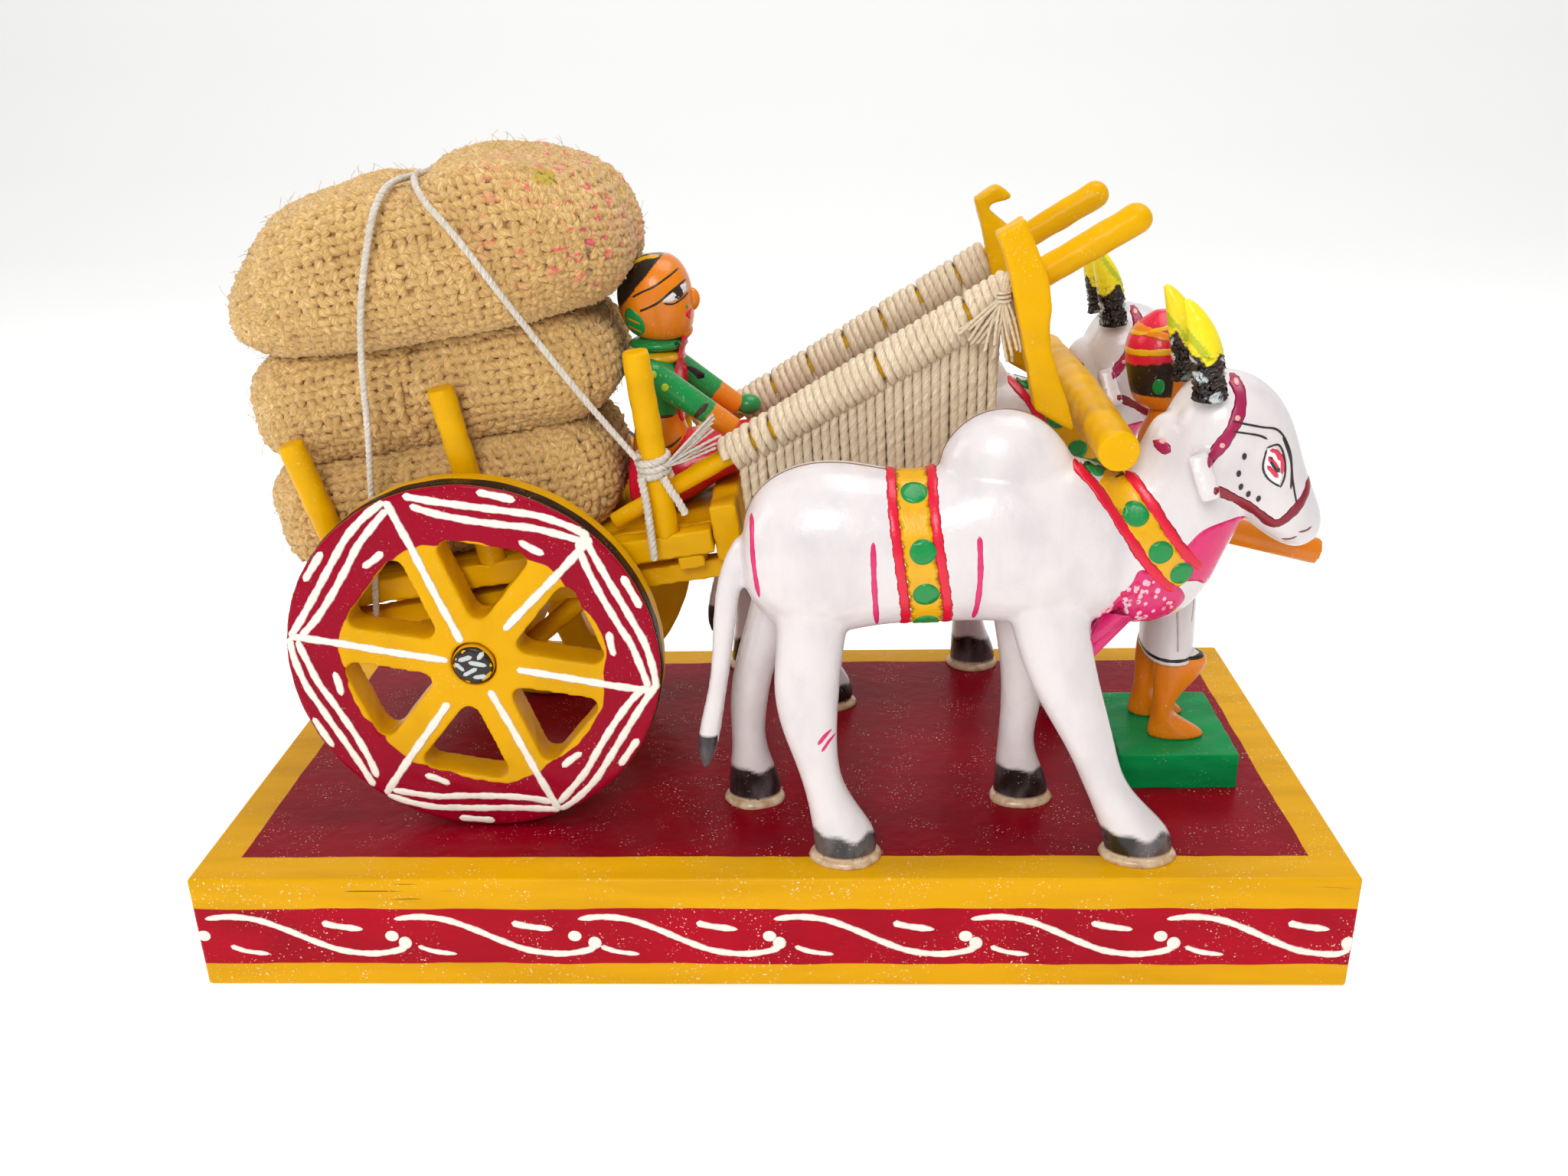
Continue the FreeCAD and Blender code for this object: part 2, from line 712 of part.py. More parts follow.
def rounded_tube(points, diameter, radii):
    """A tube along straight runs joined by tangent arcs, one radius for each inner point."""
    edges = []
    start = points[0]
    for number in range(1, len(points) - 1):
        corner = points[number]
        into = (points[number - 1] - corner).normalize()
        out = (points[number + 1] - corner).normalize()
        half = into.getAngle(out) / 2
        radius = radii[number - 1]
        setback = radius / math.tan(half)
        middle = (into + out).normalize()
        first = corner + into * setback
        last = corner + out * setback
        crown = corner + middle * (radius / math.sin(half) - radius)
        edges.append(Part.LineSegment(start, first).toShape())
        edges.append(Part.Arc(first, crown, last).toShape())
        start = last
    edges.append(Part.LineSegment(start, points[-1]).toShape())
    wire = Part.Wire(edges)
    ring = Part.Wire([Part.Circle(points[0], points[1] - points[0], diameter / 2).toShape()])
    tube = wire.makePipeShell([ring], True, False, 2)
    print(f"string run {wire.Length:.1f} mm, radii", [round(radius, 1) for radius in radii])
    return tube, wire.Length


def free_radii(points):
    """The largest arcs that the runs on both sides of each point leave room for."""
    radii = []
    for number in range(1, len(points) - 1):
        before = points[number] - points[number - 1]
        after = points[number + 1] - points[number]
        turn = before.getAngle(after)
        radii.append(0.45 * min(before.Length, after.Length) / math.tan(turn / 2))
    return radii


def make_load_string():
    """The string that goes up one side of the load, over the top and down the other side."""
    half_route = [
        Vector(-88.0, -27.4, 48.0),
        Vector(-86.6, -27.4, 62.0),
        Vector(-85.0, -27.6, 78.0),
        Vector(-83.4, -28.4, 93.0),
        Vector(-82.0, -31.0, 107.0),
        Vector(-80.8, -32.8, 120.0),
        Vector(-79.6, -32.9, 132.0),
        Vector(-78.6, -31.0, 142.0),
        Vector(-77.8, -22.0, 146.2),
        Vector(-77.2, -8.0, 145.8),
    ]
    points = [point + Vector(0, 0, DECK) for point in half_route]
    points += [Vector(point.x, -point.y, point.z) for point in reversed(points)]
    tube, _ = rounded_tube(points, size("string_thickness"), free_radii(points))
    return keep(shaped("load_string", tube), "load_string")


def make_stay_string(side_name, side):
    """The string that runs from the top of the load down to the front stake."""
    route = [
        Vector(-73.0, 8.0, 147.0),
        Vector(-70.6, 21.0, 147.4),
        Vector(-66.0, 31.4, 143.0),
        Vector(-59.0, 33.0, 133.0),
        Vector(-51.0, 32.8, 121.0),
        Vector(-43.0, 31.0, 108.5),
        Vector(-35.0, 29.4, 96.5),
        Vector(-26.6, 28.4, 85.5),
    ]
    points = [Vector(point.x, side * point.y, point.z + DECK) for point in route]
    tube, _ = rounded_tube(points, size("string_thickness"), free_radii(points))
    name = f"stay_string_{side_name}"
    return keep(shaped(name, tube), name)


def make_stake_knot(side_name, stake, stay):
    """The few turns of string that tie the stay to the front stake."""
    thick = size("string_thickness") * size("knot_layers")
    name = f"stake_knot_{side_name}"
    turns = Part.makeCylinder(size("stake_radius") + thick, size("string_thickness") * size("knot_turns"))
    turns.Placement = stake.Placement.multiply(Placement(Vector(0, 0, size("knot_rise")), Rotation()))
    return keep(shaped(name, turns.cut(stake.Shape).cut(stay.Shape)), name)


# --- Driver ---------------------------------------------------------------------------------

def limb(start, end, start_radius, end_radius):
    """A tapering arm or leg between two points."""
    axis = end - start
    cone = Part.makeCone(start_radius, end_radius, axis.Length)
    cone.Placement = Placement(start, Rotation(Z_AXIS, axis))
    return cone


def make_driver(front_board):
    """The seated woman: skirt, trunk, head and two arms reaching for the shafts."""
    base = Vector(-25.0, 0, DECK)
    skirt_stations = [
        Station(-6.4, 0, 73.4, 0, 6.2, 10.4),
        Station(-1.0, 0, 74.0, 0, 7.8, 12.0),
        Station(8.0, 0, 76.2, 0, 7.4, 12.0),
        Station(19.0, 0, 80.0, 0, 5.0, 10.5),
        Station(29.0, 0, 80.4, 0, 3.6, 9.0),
        Station(31.0, 0, 80.0, 0, 1.8, 6.0),
    ]
    trunk_stations = [
        Station(0.6, 0, 78.0, 90, 6.8, 9.2),
        Station(0.2, 0, 86.0, 90, 5.8, 8.0),
        Station(-0.2, 0, 93.0, 90, 6.4, 8.8),
        Station(-0.2, 0, 99.4, 90, 5.6, 8.6),
        Station(0.0, 0, 102.4, 90, 3.8, 4.8),
        Station(0.4, 0, 105.0, 90, 3.4, 3.6),
    ]
    head_stations = [
        Station(2.6, 0, 104.4, 90, 5.0, 4.6),
        Station(2.2, 0, 106.8, 90, 8.0, 6.8),
        Station(1.6, 0, 112.4, 90, 9.2, 8.2),
        Station(1.4, 0, 118.0, 90, 8.2, 7.6),
        Station(1.8, 0, 121.6, 90, 5.2, 4.8),
        Station(2.2, 0, 122.8, 90, 2.4, 2.0),
    ]
    skirt = carved(moved(skirt_stations, base), 2.4).cut(front_board.Shape)
    floor_top = BED.multiply(Placement(Vector(-120, -40, -60), Rotation()))
    below = Part.makeBox(200, 80, 60 + size("crossbar_height") + size("plank_height") + 0.1)
    below.Placement = floor_top
    skirt = max(skirt.cut(below).Solids, key=lambda solid: solid.Volume)
    keep(shaped("driver_skirt", skirt), "driver_skirt")
    trunk = carved(moved(trunk_stations, base), 2.2).cut(skirt)
    trunk = max(trunk.Solids, key=lambda solid: solid.Volume)
    keep(shaped("driver_trunk", trunk), "driver_trunk")
    head = carved(moved(head_stations, base), 2.1).cut(trunk)
    head = max(head.Solids, key=lambda solid: solid.Volume)
    keep(shaped("driver_head", head), "driver_head")
    for side_name, side in SIDES:
        shoulder = Vector(-24.4, side * 10.6, DECK + 99.0)
        hand = Vector(-6.6, side * 10.2, DECK + 86.6)
        arm = limb(shoulder, hand, 3.5, 2.4).fuse(Part.makeSphere(3.5, shoulder)).removeSplitter()
        arm = arm.cut(trunk).cut(skirt)
        name = f"driver_arm_{side_name}"
        keep(shaped(name, max(arm.Solids, key=lambda solid: solid.Volume)), name)


# --- Standing man ---------------------------------------------------------------------------

def make_man():
    """The man who walks between the oxen, on a small block, with both arms held forward."""
    block_place = Placement(Vector(82.6, -21.5, DECK), Rotation())
    keep(box("man_block", "Sizes.block_length", "Sizes.block_depth", "Sizes.block_height", block_place),
         "man_block")
    top = DECK + size("block_height")
    base = Vector(95.0, -6.0, 0)
    gown_stations = [
        Station(0, 0, DECK + 29.5, 90, 5.8, 10.2),
        Station(-0.6, 0, DECK + 44.0, 90, 6.0, 9.6),
        Station(-1.6, 0, DECK + 58.0, 90, 5.6, 8.4),
        Station(-3.0, 0, DECK + 72.0, 90, 5.8, 9.0),
        Station(-4.4, 0, DECK + 83.5, 90, 5.2, 8.6),
        Station(-5.0, 0, DECK + 87.0, 90, 3.6, 4.6),
        Station(-5.4, 0, DECK + 90.0, 90, 3.2, 3.4),
    ]
    head_stations = [
        Station(-5.0, 0, DECK + 89.4, 90, 4.8, 4.4),
        Station(-5.2, 0, DECK + 92.0, 90, 7.4, 6.4),
        Station(-6.0, 0, DECK + 98.0, 90, 8.2, 7.6),
        Station(-6.4, 0, DECK + 103.0, 90, 8.4, 7.8),
        Station(-6.8, 0, DECK + 108.0, 90, 5.8, 5.4),
        Station(-7.0, 0, DECK + 111.0, 90, 1.8, 1.6),
    ]
    gown = carved(moved(gown_stations, base), 2.3)
    keep(shaped("man_body", gown), "man_body")
    head = carved(moved(head_stations, base), 2.1).cut(gown)
    keep(shaped("man_head", max(head.Solids, key=lambda solid: solid.Volume)), "man_head")
    legs = []
    for y, forward in ((-11.0, 0.6), (1.0, -1.6)):
        leg_stations = [
            upright(95.0 + forward, y, DECK + 31.5, 3.4, 3.3),
            upright(94.4 + forward, y, DECK + 20.0, 3.6, 3.2),
            upright(94.4 + forward, y, top + 5.0, 3.4, 3.2),
            upright(96.2 + forward, y, top + 2.4, 5.6, 3.4),
            upright(97.4 + forward, y, top, 6.8, 3.6),
        ]
        leg = carved(leg_stations).cut(gown)
        legs.append(max(leg.Solids, key=lambda solid: solid.Volume))
    keep(shaped("man_legs", Part.makeCompound(legs)), "man_legs")
    arms = []
    for across in (-13.6, 1.6):
        shoulder = Vector(92.0, across, DECK + 80.5)
        elbow = Vector(101.0, across, DECK + 63.5)
        hand = Vector(125.0, across, DECK + 57.2)
        arm = limb(shoulder, elbow, 3.3, 3.1).fuse(Part.makeSphere(3.1, elbow))
        arm = arm.fuse(Part.makeSphere(3.3, shoulder)).fuse(limb(elbow, hand, 3.1, 3.0)).removeSplitter()
        arm = arm.cut(gown)
        arms.append(max(arm.Solids, key=lambda solid: solid.Volume))
    keep(shaped("man_arms", Part.makeCompound(arms)), "man_arms")


# --- Assembly -------------------------------------------------------------------------------

def make_cart():
    """Wheels, axle, bed, shafts and yoke."""
    for side_name, side in SIDES:
        make_wheel(f"wheel_{side_name}", side)
    make_axle()
    beams = [make_beam(f"long_beam_{side_name}", side) for side_name, side in SIDES]
    bolster = make_bolster(beams)
    for number, (side_name, side) in enumerate(SIDES):
        make_strut(f"strut_{side_name}", side, [bolster, beams[number]])
    make_crossbars()
    front_stakes = {}
    for side_name, side in SIDES:
        stakes = make_stakes(side_name, side)
        make_side_plank(side_name, side, stakes)
        front_stakes[side_name] = stakes[0]
    make_floor()
    front_board = make_front_board()
    yoke = make_yoke()
    doc.recompute()
    for side_name, side in SIDES:
        shaft = make_shaft(f"shaft_{side_name}", side)
        make_winding(f"shaft_cord_{side_name}", side, shaft)
        half = size("post_thickness") / 2
        y = side * size("shaft_tip_centre") - size("shaft_tip_radius") - half
        make_post(f"post_{side_name}", y, yoke, shaft, side == FAR)
    return front_board, front_stakes, yoke


def make_load(front_stakes):
    """The three sacks and the strings that hold them."""
    for plan in SACKS:
        make_sack(plan)
    make_load_string()
    for side_name, side in SIDES:
        stay = make_stay_string(side_name, side)
        make_stake_knot(side_name, front_stakes[side_name], stay)


def write_pieces():
    """Check every object and write each sub-part to its own file."""
    doc.recompute()
    for item in doc.Objects:
        if "Invalid" in item.State or "Error" in item.State:
            raise RuntimeError(f"{item.Label} did not compute: {item.State}")
    os.makedirs("parts", exist_ok=True)
    for piece in pieces:
        shape = piece.Shape
        if shape.isNull() or not shape.isValid() or not shape.Solids:
            raise RuntimeError(f"{piece.Label} has no valid solid")
        shape.exportStep(f"parts/{piece.Label}.step")
        print(f"{piece.Label}: {len(shape.Solids)} solid(s), {shape.Volume:.1f} mm3")


make_plinth()
board, tied_stakes, neck_bar = make_cart()
make_load(tied_stakes)
make_driver(board)
make_ox("near", Vector(0, -size("ox_centre"), DECK), neck_bar)
make_ox("far", Vector(-size("far_ox_back"), size("ox_centre"), DECK), neck_bar)
make_man()
write_pieces()
print(f"{len(pieces)} pieces")
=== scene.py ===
"""Hand-painted wooden bullock cart toy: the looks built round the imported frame.

Metres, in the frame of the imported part: +X is the way the oxen face, +Y goes from the near side to
the far side, +Z is up and the origin is the middle of the plinth's underside.
"""
import logging
from dataclasses import dataclass, field
from enum import Enum
from math import cos, pi, radians, sin, sqrt, tan
from random import Random
from typing import Any, Callable, Iterable, Sequence

import bmesh
import bpy
import numpy as np
from mathutils import Matrix, Vector
from mathutils.bvhtree import BVHTree
from mathutils.geometry import delaunay_2d_cdt


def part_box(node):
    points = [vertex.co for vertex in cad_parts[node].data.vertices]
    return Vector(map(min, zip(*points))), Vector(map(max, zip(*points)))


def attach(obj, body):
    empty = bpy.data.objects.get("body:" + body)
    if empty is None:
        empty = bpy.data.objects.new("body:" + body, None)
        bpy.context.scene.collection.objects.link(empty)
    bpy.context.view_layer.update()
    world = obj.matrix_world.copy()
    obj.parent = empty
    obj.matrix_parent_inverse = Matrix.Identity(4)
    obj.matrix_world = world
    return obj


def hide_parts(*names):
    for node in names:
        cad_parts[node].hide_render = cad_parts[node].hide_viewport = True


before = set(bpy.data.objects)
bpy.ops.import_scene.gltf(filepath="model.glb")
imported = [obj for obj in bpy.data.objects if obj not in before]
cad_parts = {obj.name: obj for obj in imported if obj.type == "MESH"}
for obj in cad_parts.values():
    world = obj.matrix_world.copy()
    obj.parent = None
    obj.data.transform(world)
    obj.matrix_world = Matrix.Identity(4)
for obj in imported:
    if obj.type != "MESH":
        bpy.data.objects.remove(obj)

LOG = logging.getLogger("bullock_cart")
MM = 0.001
DECK_MM = 28
DECK = DECK_MM * MM
CART = "cart"
SIDES = (("near", -1), ("far", 1))
HUB_X, HUB_Z = -64 * MM, 69.8 * MM
X_AXIS, Y_AXIS, Z_AXIS = Vector((1, 0, 0)), Vector((0, 1, 0)), Vector((0, 0, 1))

Piece, Material = bpy.types.Object, bpy.types.Material
NodeTree, Socket = bpy.types.NodeTree, bpy.types.NodeSocket
Marks = Sequence[tuple[float, float]]


class Paint(Enum):
    """Tins of oil enamel, as sRGB hex colours."""

    YELLOW = "#E2A804"
    CREAM = "#F3EBDF"
    WHITE = "#DCD5D5"
    RED = "#D90F34"
    MAGENTA = "#D8246A"
    GREEN = "#068A40"
    ORANGE = "#E07C00"
    BLACK = "#1C1713"
    # Not a tin: silver flecks on black paint are painted highlights.
    SILVER = "#C3CBCB"
    LEMON = "#F4E01A"


class Slot(Enum):
    """Material slots of the record."""

    PLINTH = "plinth_enamel"
    WHEEL = "wheel_enamel"
    AXLE = "axle_enamel"
    CART = "cart_enamel"
    JUTE = "jute_sacking"
    CORD = "cotton_cord"
    STRING = "cotton_string"
    DOLL = "doll_enamel"
    BLOCK = "block_enamel"
    OX = "ox_enamel"
    HORN = "horn_enamel"
    BRUSHWORK = "brushwork_enamel"
    GLUE = "glue"


def linear(colour: str | Paint) -> tuple[float, float, float, float]:
    """Turns an sRGB hex colour to linear light.

    Args:
        colour: "#RRGGBB", or one of the tins.
    Returns:
        Red, green, blue and an alpha of 1.
    """
    text = colour.value if isinstance(colour, Paint) else colour
    parts = [int(text[i:i + 2], 16) / 255 for i in (1, 3, 5)]
    red, green, blue = [c / 12.92 if c <= 0.04045 else ((c + 0.055) / 1.055) ** 2.4 for c in parts]
    return red, green, blue, 1.0


def add_node(tree: NodeTree, kind: str, settings: dict[str, Any] | None = None,
             inputs: dict[str | int, Any] | None = None) -> bpy.types.Node:
    """Adds one node with its settings and links.

    Args:
        tree: the node tree it goes in.
        kind: the node's type name.
        settings: properties of the node.
        inputs: for an input's name or number, a value or the socket that feeds it.
    Returns:
        The node.
    """
    node = tree.nodes.new(kind)
    for name, value in (settings or {}).items():
        setattr(node, name, value)
    for name, value in (inputs or {}).items():
        socket = node.inputs[name]
        if isinstance(value, Socket):
            tree.links.new(value, socket)
        else:
            socket.default_value = value
    return node


def calc(tree: NodeTree, operation: str, *values: Any) -> Socket:
    """Result of one arithmetic step on values or sockets."""
    return add_node(tree, "ShaderNodeMath", {"operation": operation}, dict(enumerate(values))).outputs[0]


def geometry_node(tree: NodeTree, kind: str, inputs: dict[str | int, Any]) -> Socket:
    """First output of a new geometry node."""
    return add_node(tree, f"GeometryNode{kind}", inputs=inputs).outputs[0]


def new_group(name: str, sizes: dict[str, str]) -> NodeTree:
    """An empty Geometry Nodes group.

    Args:
        name: its name.
        sizes: the kind of each input after the geometry, by name.
    Returns:
        The group, with its sockets.
    """
    tree = bpy.data.node_groups.new(name, "GeometryNodeTree")
    for label, kind in {"Geometry": "Geometry", **sizes}.items():
        tree.interface.new_socket(label, in_out="INPUT", socket_type=f"NodeSocket{kind}")
    tree.interface.new_socket("Geometry", in_out="OUTPUT", socket_type="NodeSocketGeometry")
    return tree


def run_group(piece: Piece, tree: NodeTree, sizes: dict[str, float]) -> Piece:
    """Runs a Geometry Nodes group on a piece with those sizes and keeps the mesh that comes out."""
    modifier = piece.modifiers.new(tree.name, "NODES")
    modifier.node_group = tree
    for item in tree.interface.items_tree:
        if item.in_out == "INPUT" and item.name in sizes:
            modifier[item.identifier] = sizes[item.name]
    return settled(piece)


def over_deck(x: float, y: float, z: float) -> Vector:
    """A place, from mm along, across and above the plinth's top."""
    return Vector((x, y, z + DECK_MM)) * MM


def angles(count: int) -> list[float]:
    """Even angles round a full turn."""
    return [2 * pi * k / count for k in range(count)]


def smooth_line(points: Sequence[Vector], step: float, closed: bool = False) -> list[Vector]:
    """Points along a Catmull-Rom line through the given ones.

    Args:
        points: points that the line goes through.
        step: about how far apart the returned points are.
        closed: whether the line comes back to its start.
    Returns:
        Evenly spread points, without a repeat of the first one on a closed line.
    """
    count = len(points)
    spans = count if closed else count - 1
    dense: list[Vector] = []
    for i in range(spans):
        if closed:
            a, b, c, d = (points[(i + k) % count] for k in (-1, 0, 1, 2))
        else:
            a, b, c, d = (points[min(max(i + k, 0), count - 1)] for k in (-1, 0, 1, 2))
        for k in range(12):
            t = k / 12
            dense.append(0.5 * ((2 * b) + (c - a) * t + (2 * a - 5 * b + 4 * c - d) * t * t
                                + (3 * b - a - 3 * c + d) * t ** 3))
    dense.append(points[0] if closed else points[-1])
    line = np.array(dense)
    run = np.concatenate([[0], np.cumsum(np.linalg.norm(np.diff(line, axis=0), axis=1))])
    wanted = max(3 if closed else 2, round(run[-1] / step) + 1)
    at = np.linspace(0, run[-1], wanted + 1)[:-1] if closed else np.linspace(0, run[-1], wanted)
    return [Vector(p) for p in np.stack([np.interp(at, run, line[:, k]) for k in range(3)], axis=1)]


def linked(name: str, data: bpy.types.ID | None) -> Piece:
    """A new object for that data, linked to the scene."""
    made = bpy.data.objects.new(name, data)
    bpy.context.scene.collection.objects.link(made)
    return made


def mesh_object(name: str, verts: Sequence[Sequence[float]], faces: Sequence[Sequence[int]],
                smooth: bool = True) -> Piece:
    """A new mesh object at the origin."""
    mesh = bpy.data.meshes.new(name)
    mesh.from_pydata([tuple(v) for v in verts], [], [tuple(f) for f in faces])
    for face in mesh.polygons:
        face.use_smooth = smooth
    mesh.update()
    return linked(name, mesh)


def points_of(mesh: bpy.types.Mesh, what: str = "co") -> np.ndarray:
    """The places of a mesh's points, or another attribute of three parts, as an array."""
    values = np.empty(len(mesh.vertices) * 3)
    mesh.vertices.foreach_get(what, values)
    return values.reshape(-1, 3)


def move_points(mesh: bpy.types.Mesh, places: np.ndarray) -> None:
    """Moves a mesh's points."""
    mesh.vertices.foreach_set("co", places.ravel())
    mesh.update()


def tint_points(piece: Piece, tones: Any) -> None:
    """Stores a colour for each point as the piece's paint."""
    layer = piece.data.attributes.new("paint", "FLOAT_COLOR", "POINT")
    layer.data.foreach_set("color", np.array(tones, dtype=np.float32).ravel())


def turned_out(mesh: bpy.types.Mesh) -> None:
    """Turns a closed mesh's faces outward."""
    bm = bmesh.new()
    bm.from_mesh(mesh)
    bmesh.ops.recalc_face_normals(bm, faces=bm.faces)
    bm.to_mesh(mesh)
    bm.free()


def bridged(rings: Sequence[Sequence[int]], closed: bool = False) -> list[tuple[int, ...]]:
    """Faces between rings of numbered points, with both ends capped unless they join."""
    faces = []
    for first, second in list(zip(rings, rings[1:])) + ([(rings[-1], rings[0])] if closed else []):
        for k in range(len(first)):
            n = (k + 1) % len(first)
            faces.append((first[k], first[n], second[n], second[k]))
    return faces if closed else faces + [tuple(reversed(rings[0])), tuple(rings[-1])]


def settled(piece: Piece) -> Piece:
    """Turns a piece's modifiers into plain mesh and removes them."""
    graph = bpy.context.evaluated_depsgraph_get()
    mesh = bpy.data.meshes.new_from_object(piece.evaluated_get(graph), depsgraph=graph)
    if piece.type != "MESH":
        name = piece.name
        plain = linked(name, mesh)
        bpy.data.objects.remove(piece)
        plain.name = name
        return plain
    piece.modifiers.clear()
    piece.data = mesh
    return piece


def merged_copy(name: str, nodes: Sequence[str]) -> Piece:
    """One new mesh from copies of CAD nodes, with the loose triangles' points merged."""
    bm = bmesh.new()
    for node in nodes:
        bm.from_mesh(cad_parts[node].data)
    bmesh.ops.remove_doubles(bm, verts=bm.verts, dist=0.002 * MM)
    mesh = bpy.data.meshes.new(name)
    bm.to_mesh(mesh)
    bm.free()
    mesh.materials.clear()
    for old in list(mesh.attributes):
        if old.name.startswith(("UVMap", "Color")):
            mesh.attributes.remove(old)
    return linked(name, mesh)


def whittled(name: str, nodes: Sequence[str], voxel: float, passes: int, uneven: float = 0.0) -> Piece:
    """CAD nodes joined into one hand-carved solid with softened arrises.

    Args:
        name: name of the new piece.
        nodes: CAD nodes that it is made from.
        voxel: size of the remesh cells.
        passes: how many times the surface is smoothed.
        uneven: how far the knife strays from the true face.
    Returns:
        The piece, as plain smooth-shaded mesh.
    """
    piece = merged_copy(name, nodes)
    remesh = piece.modifiers.new("carve", "REMESH")
    remesh.mode = "VOXEL"
    remesh.voxel_size = voxel
    remesh.use_smooth_shade = True
    sand = piece.modifiers.new("sand", "SMOOTH")
    sand.factor = 0.5
    sand.iterations = passes
    piece = settled(piece)
    if uneven:
        places = points_of(piece.data)
        seed = sum(ord(c) for c in name)
        wave = sum(np.sin(places @ np.array(way) * (2 * pi / span) + phase) for way, span, phase in (
            ((0.8, 0.5, 0.33), 9 * MM, seed), ((-0.4, 0.7, 0.6), 6.5 * MM, 2 + seed),
            ((0.3, -0.6, 0.74), 4 * MM, 4 + seed)))
        places += points_of(piece.data, "normal") * (wave * uneven / 3)[:, None]
        move_points(piece.data, places)
    return piece


def tree_of(objects: Sequence[Piece]) -> BVHTree:
    """A search tree over the faces of several pieces."""
    verts: list[Vector] = []
    faces: list[tuple[int, ...]] = []
    for piece in objects:
        start = len(verts)
        verts.extend(v.co.copy() for v in piece.data.vertices)
        faces.extend(tuple(start + i for i in f.vertices) for f in piece.data.polygons)
    return BVHTree.FromPolygons(verts, faces)


# --- Finishes ---

class Sockets:
    """The output sockets of one material's tree that its patterns share."""

    def __init__(self, material: Material) -> None:
        """Empties the material's tree and adds Object coordinates."""
        material.use_nodes = True
        self.tree = material.node_tree
        self.tree.nodes.clear()
        self.place = add_node(self.tree, "ShaderNodeTexCoord").outputs["Object"]
        split = add_node(self.tree, "ShaderNodeSeparateXYZ", inputs={0: self.place})
        self.x, self.y, self.z = split.outputs

    def calc(self, operation: str, *values: Any) -> Socket:
        """Result of one arithmetic step on values or sockets."""
        return calc(self.tree, operation, *values)

    def times(self, first: Any, second: Any) -> Socket:
        """Product of two values or sockets."""
        return self.calc("MULTIPLY", first, second)

    def noise(self, span: float, detail: float = 2.0, stretch: Sequence[float] = (1, 1, 1)) -> Socket:
        """Noise whose lumps are about span metres across, stretched along the axes."""
        place = add_node(self.tree, "ShaderNodeMapping", inputs={
            "Vector": self.place, "Scale": tuple(1 / s for s in stretch)}).outputs[0]
        return add_node(self.tree, "ShaderNodeTexNoise", inputs={
            "Vector": place, "Scale": 1 / span, "Detail": detail}).outputs["Fac"]

    def step(self, value: Any, start: float, end: float) -> Socket:
        """0 below start, 1 above end, smooth between them."""
        return add_node(self.tree, "ShaderNodeMapRange", {"interpolation_type": "SMOOTHSTEP"}, {
            "Value": value, "From Min": start, "From Max": end}).outputs["Result"]

    def mix(self, share: Any, first: Any, second: Any) -> Socket:
        """Colour between first and second."""
        return add_node(self.tree, "ShaderNodeMix", {"data_type": "RGBA"}, {
            0: share, 6: first, 7: second}).outputs[2]

    def bump(self, height: Any, depth: float, strength: float = 1.0, under: Socket | None = None) -> Socket:
        """Surface direction from a height pattern depth metres deep."""
        inputs: dict[str | int, Any] = {"Height": height, "Distance": depth, "Strength": strength}
        if under is not None:
            inputs["Normal"] = under
        return add_node(self.tree, "ShaderNodeBump", inputs=inputs).outputs[0]

    def close(self, **shader: Any) -> None:
        """Ends the tree in one Principled shader with those settings."""
        names = {key.replace("_", " "): value for key, value in shader.items()}
        surface = add_node(self.tree, "ShaderNodeBsdfPrincipled", inputs=names)
        add_node(self.tree, "ShaderNodeOutputMaterial", inputs={"Surface": surface.outputs[0]})


@dataclass(frozen=True)
class Enamel:
    """Oil enamel brushed by hand over whittled softwood: glossy, streaked, with dust caught in it and pale specks
    of painted highlight.
    """

    name: str
    colour: str | Paint
    worn: str | Paint
    roughness: float = 0.36
    coat: float = 0.06
    specular: float = 0.07
    wear: float = 0.16
    dust_and_glint: float = 0.25
    streak_depth: float = 0.10 * MM
    grain_way: tuple[float, float, float] = (6.0, 1.0, 1.0)
    regions: Callable[[Sockets, Any], Any] | None = None

    def material(self) -> Material:
        """The finish as a Blender material; brush marks are 0.5 mm apart and run with the grain."""
        made = bpy.data.materials.new(self.name)
        at = Sockets(made)
        base: Any = linear(self.colour)
        if self.regions is not None:
            base = self.regions(at, base)
        thin = at.step(at.noise(7 * MM, 3, self.grain_way), 0.35, 0.75)
        dark = at.mix(at.times(thin, self.wear), base, linear(self.worn))
        # Pale cream specks: partly dust in the enamel, partly painted highlight glints.
        dust_and_glint_specks = at.times(at.step(at.noise(0.55 * MM, 1), 0.67, 0.73), at.step(at.noise(9 * MM, 2), 0.46, 0.62))
        colour = at.mix(at.times(dust_and_glint_specks, self.dust_and_glint), dark, linear("#F7E9D2"))
        brush = at.noise(0.5 * MM, 2, self.grain_way)
        lumps = at.noise(3.2 * MM, 2)
        normal = at.bump(brush, self.streak_depth, 0.5, at.bump(lumps, 0.35 * MM, 0.6))
        at.close(Base_Color=colour, Roughness=self.roughness, IOR=1.5, Normal=normal,
                 Specular_IOR_Level=self.specular,
                 Coat_Weight=self.coat, Coat_Roughness=0.12)
        return made


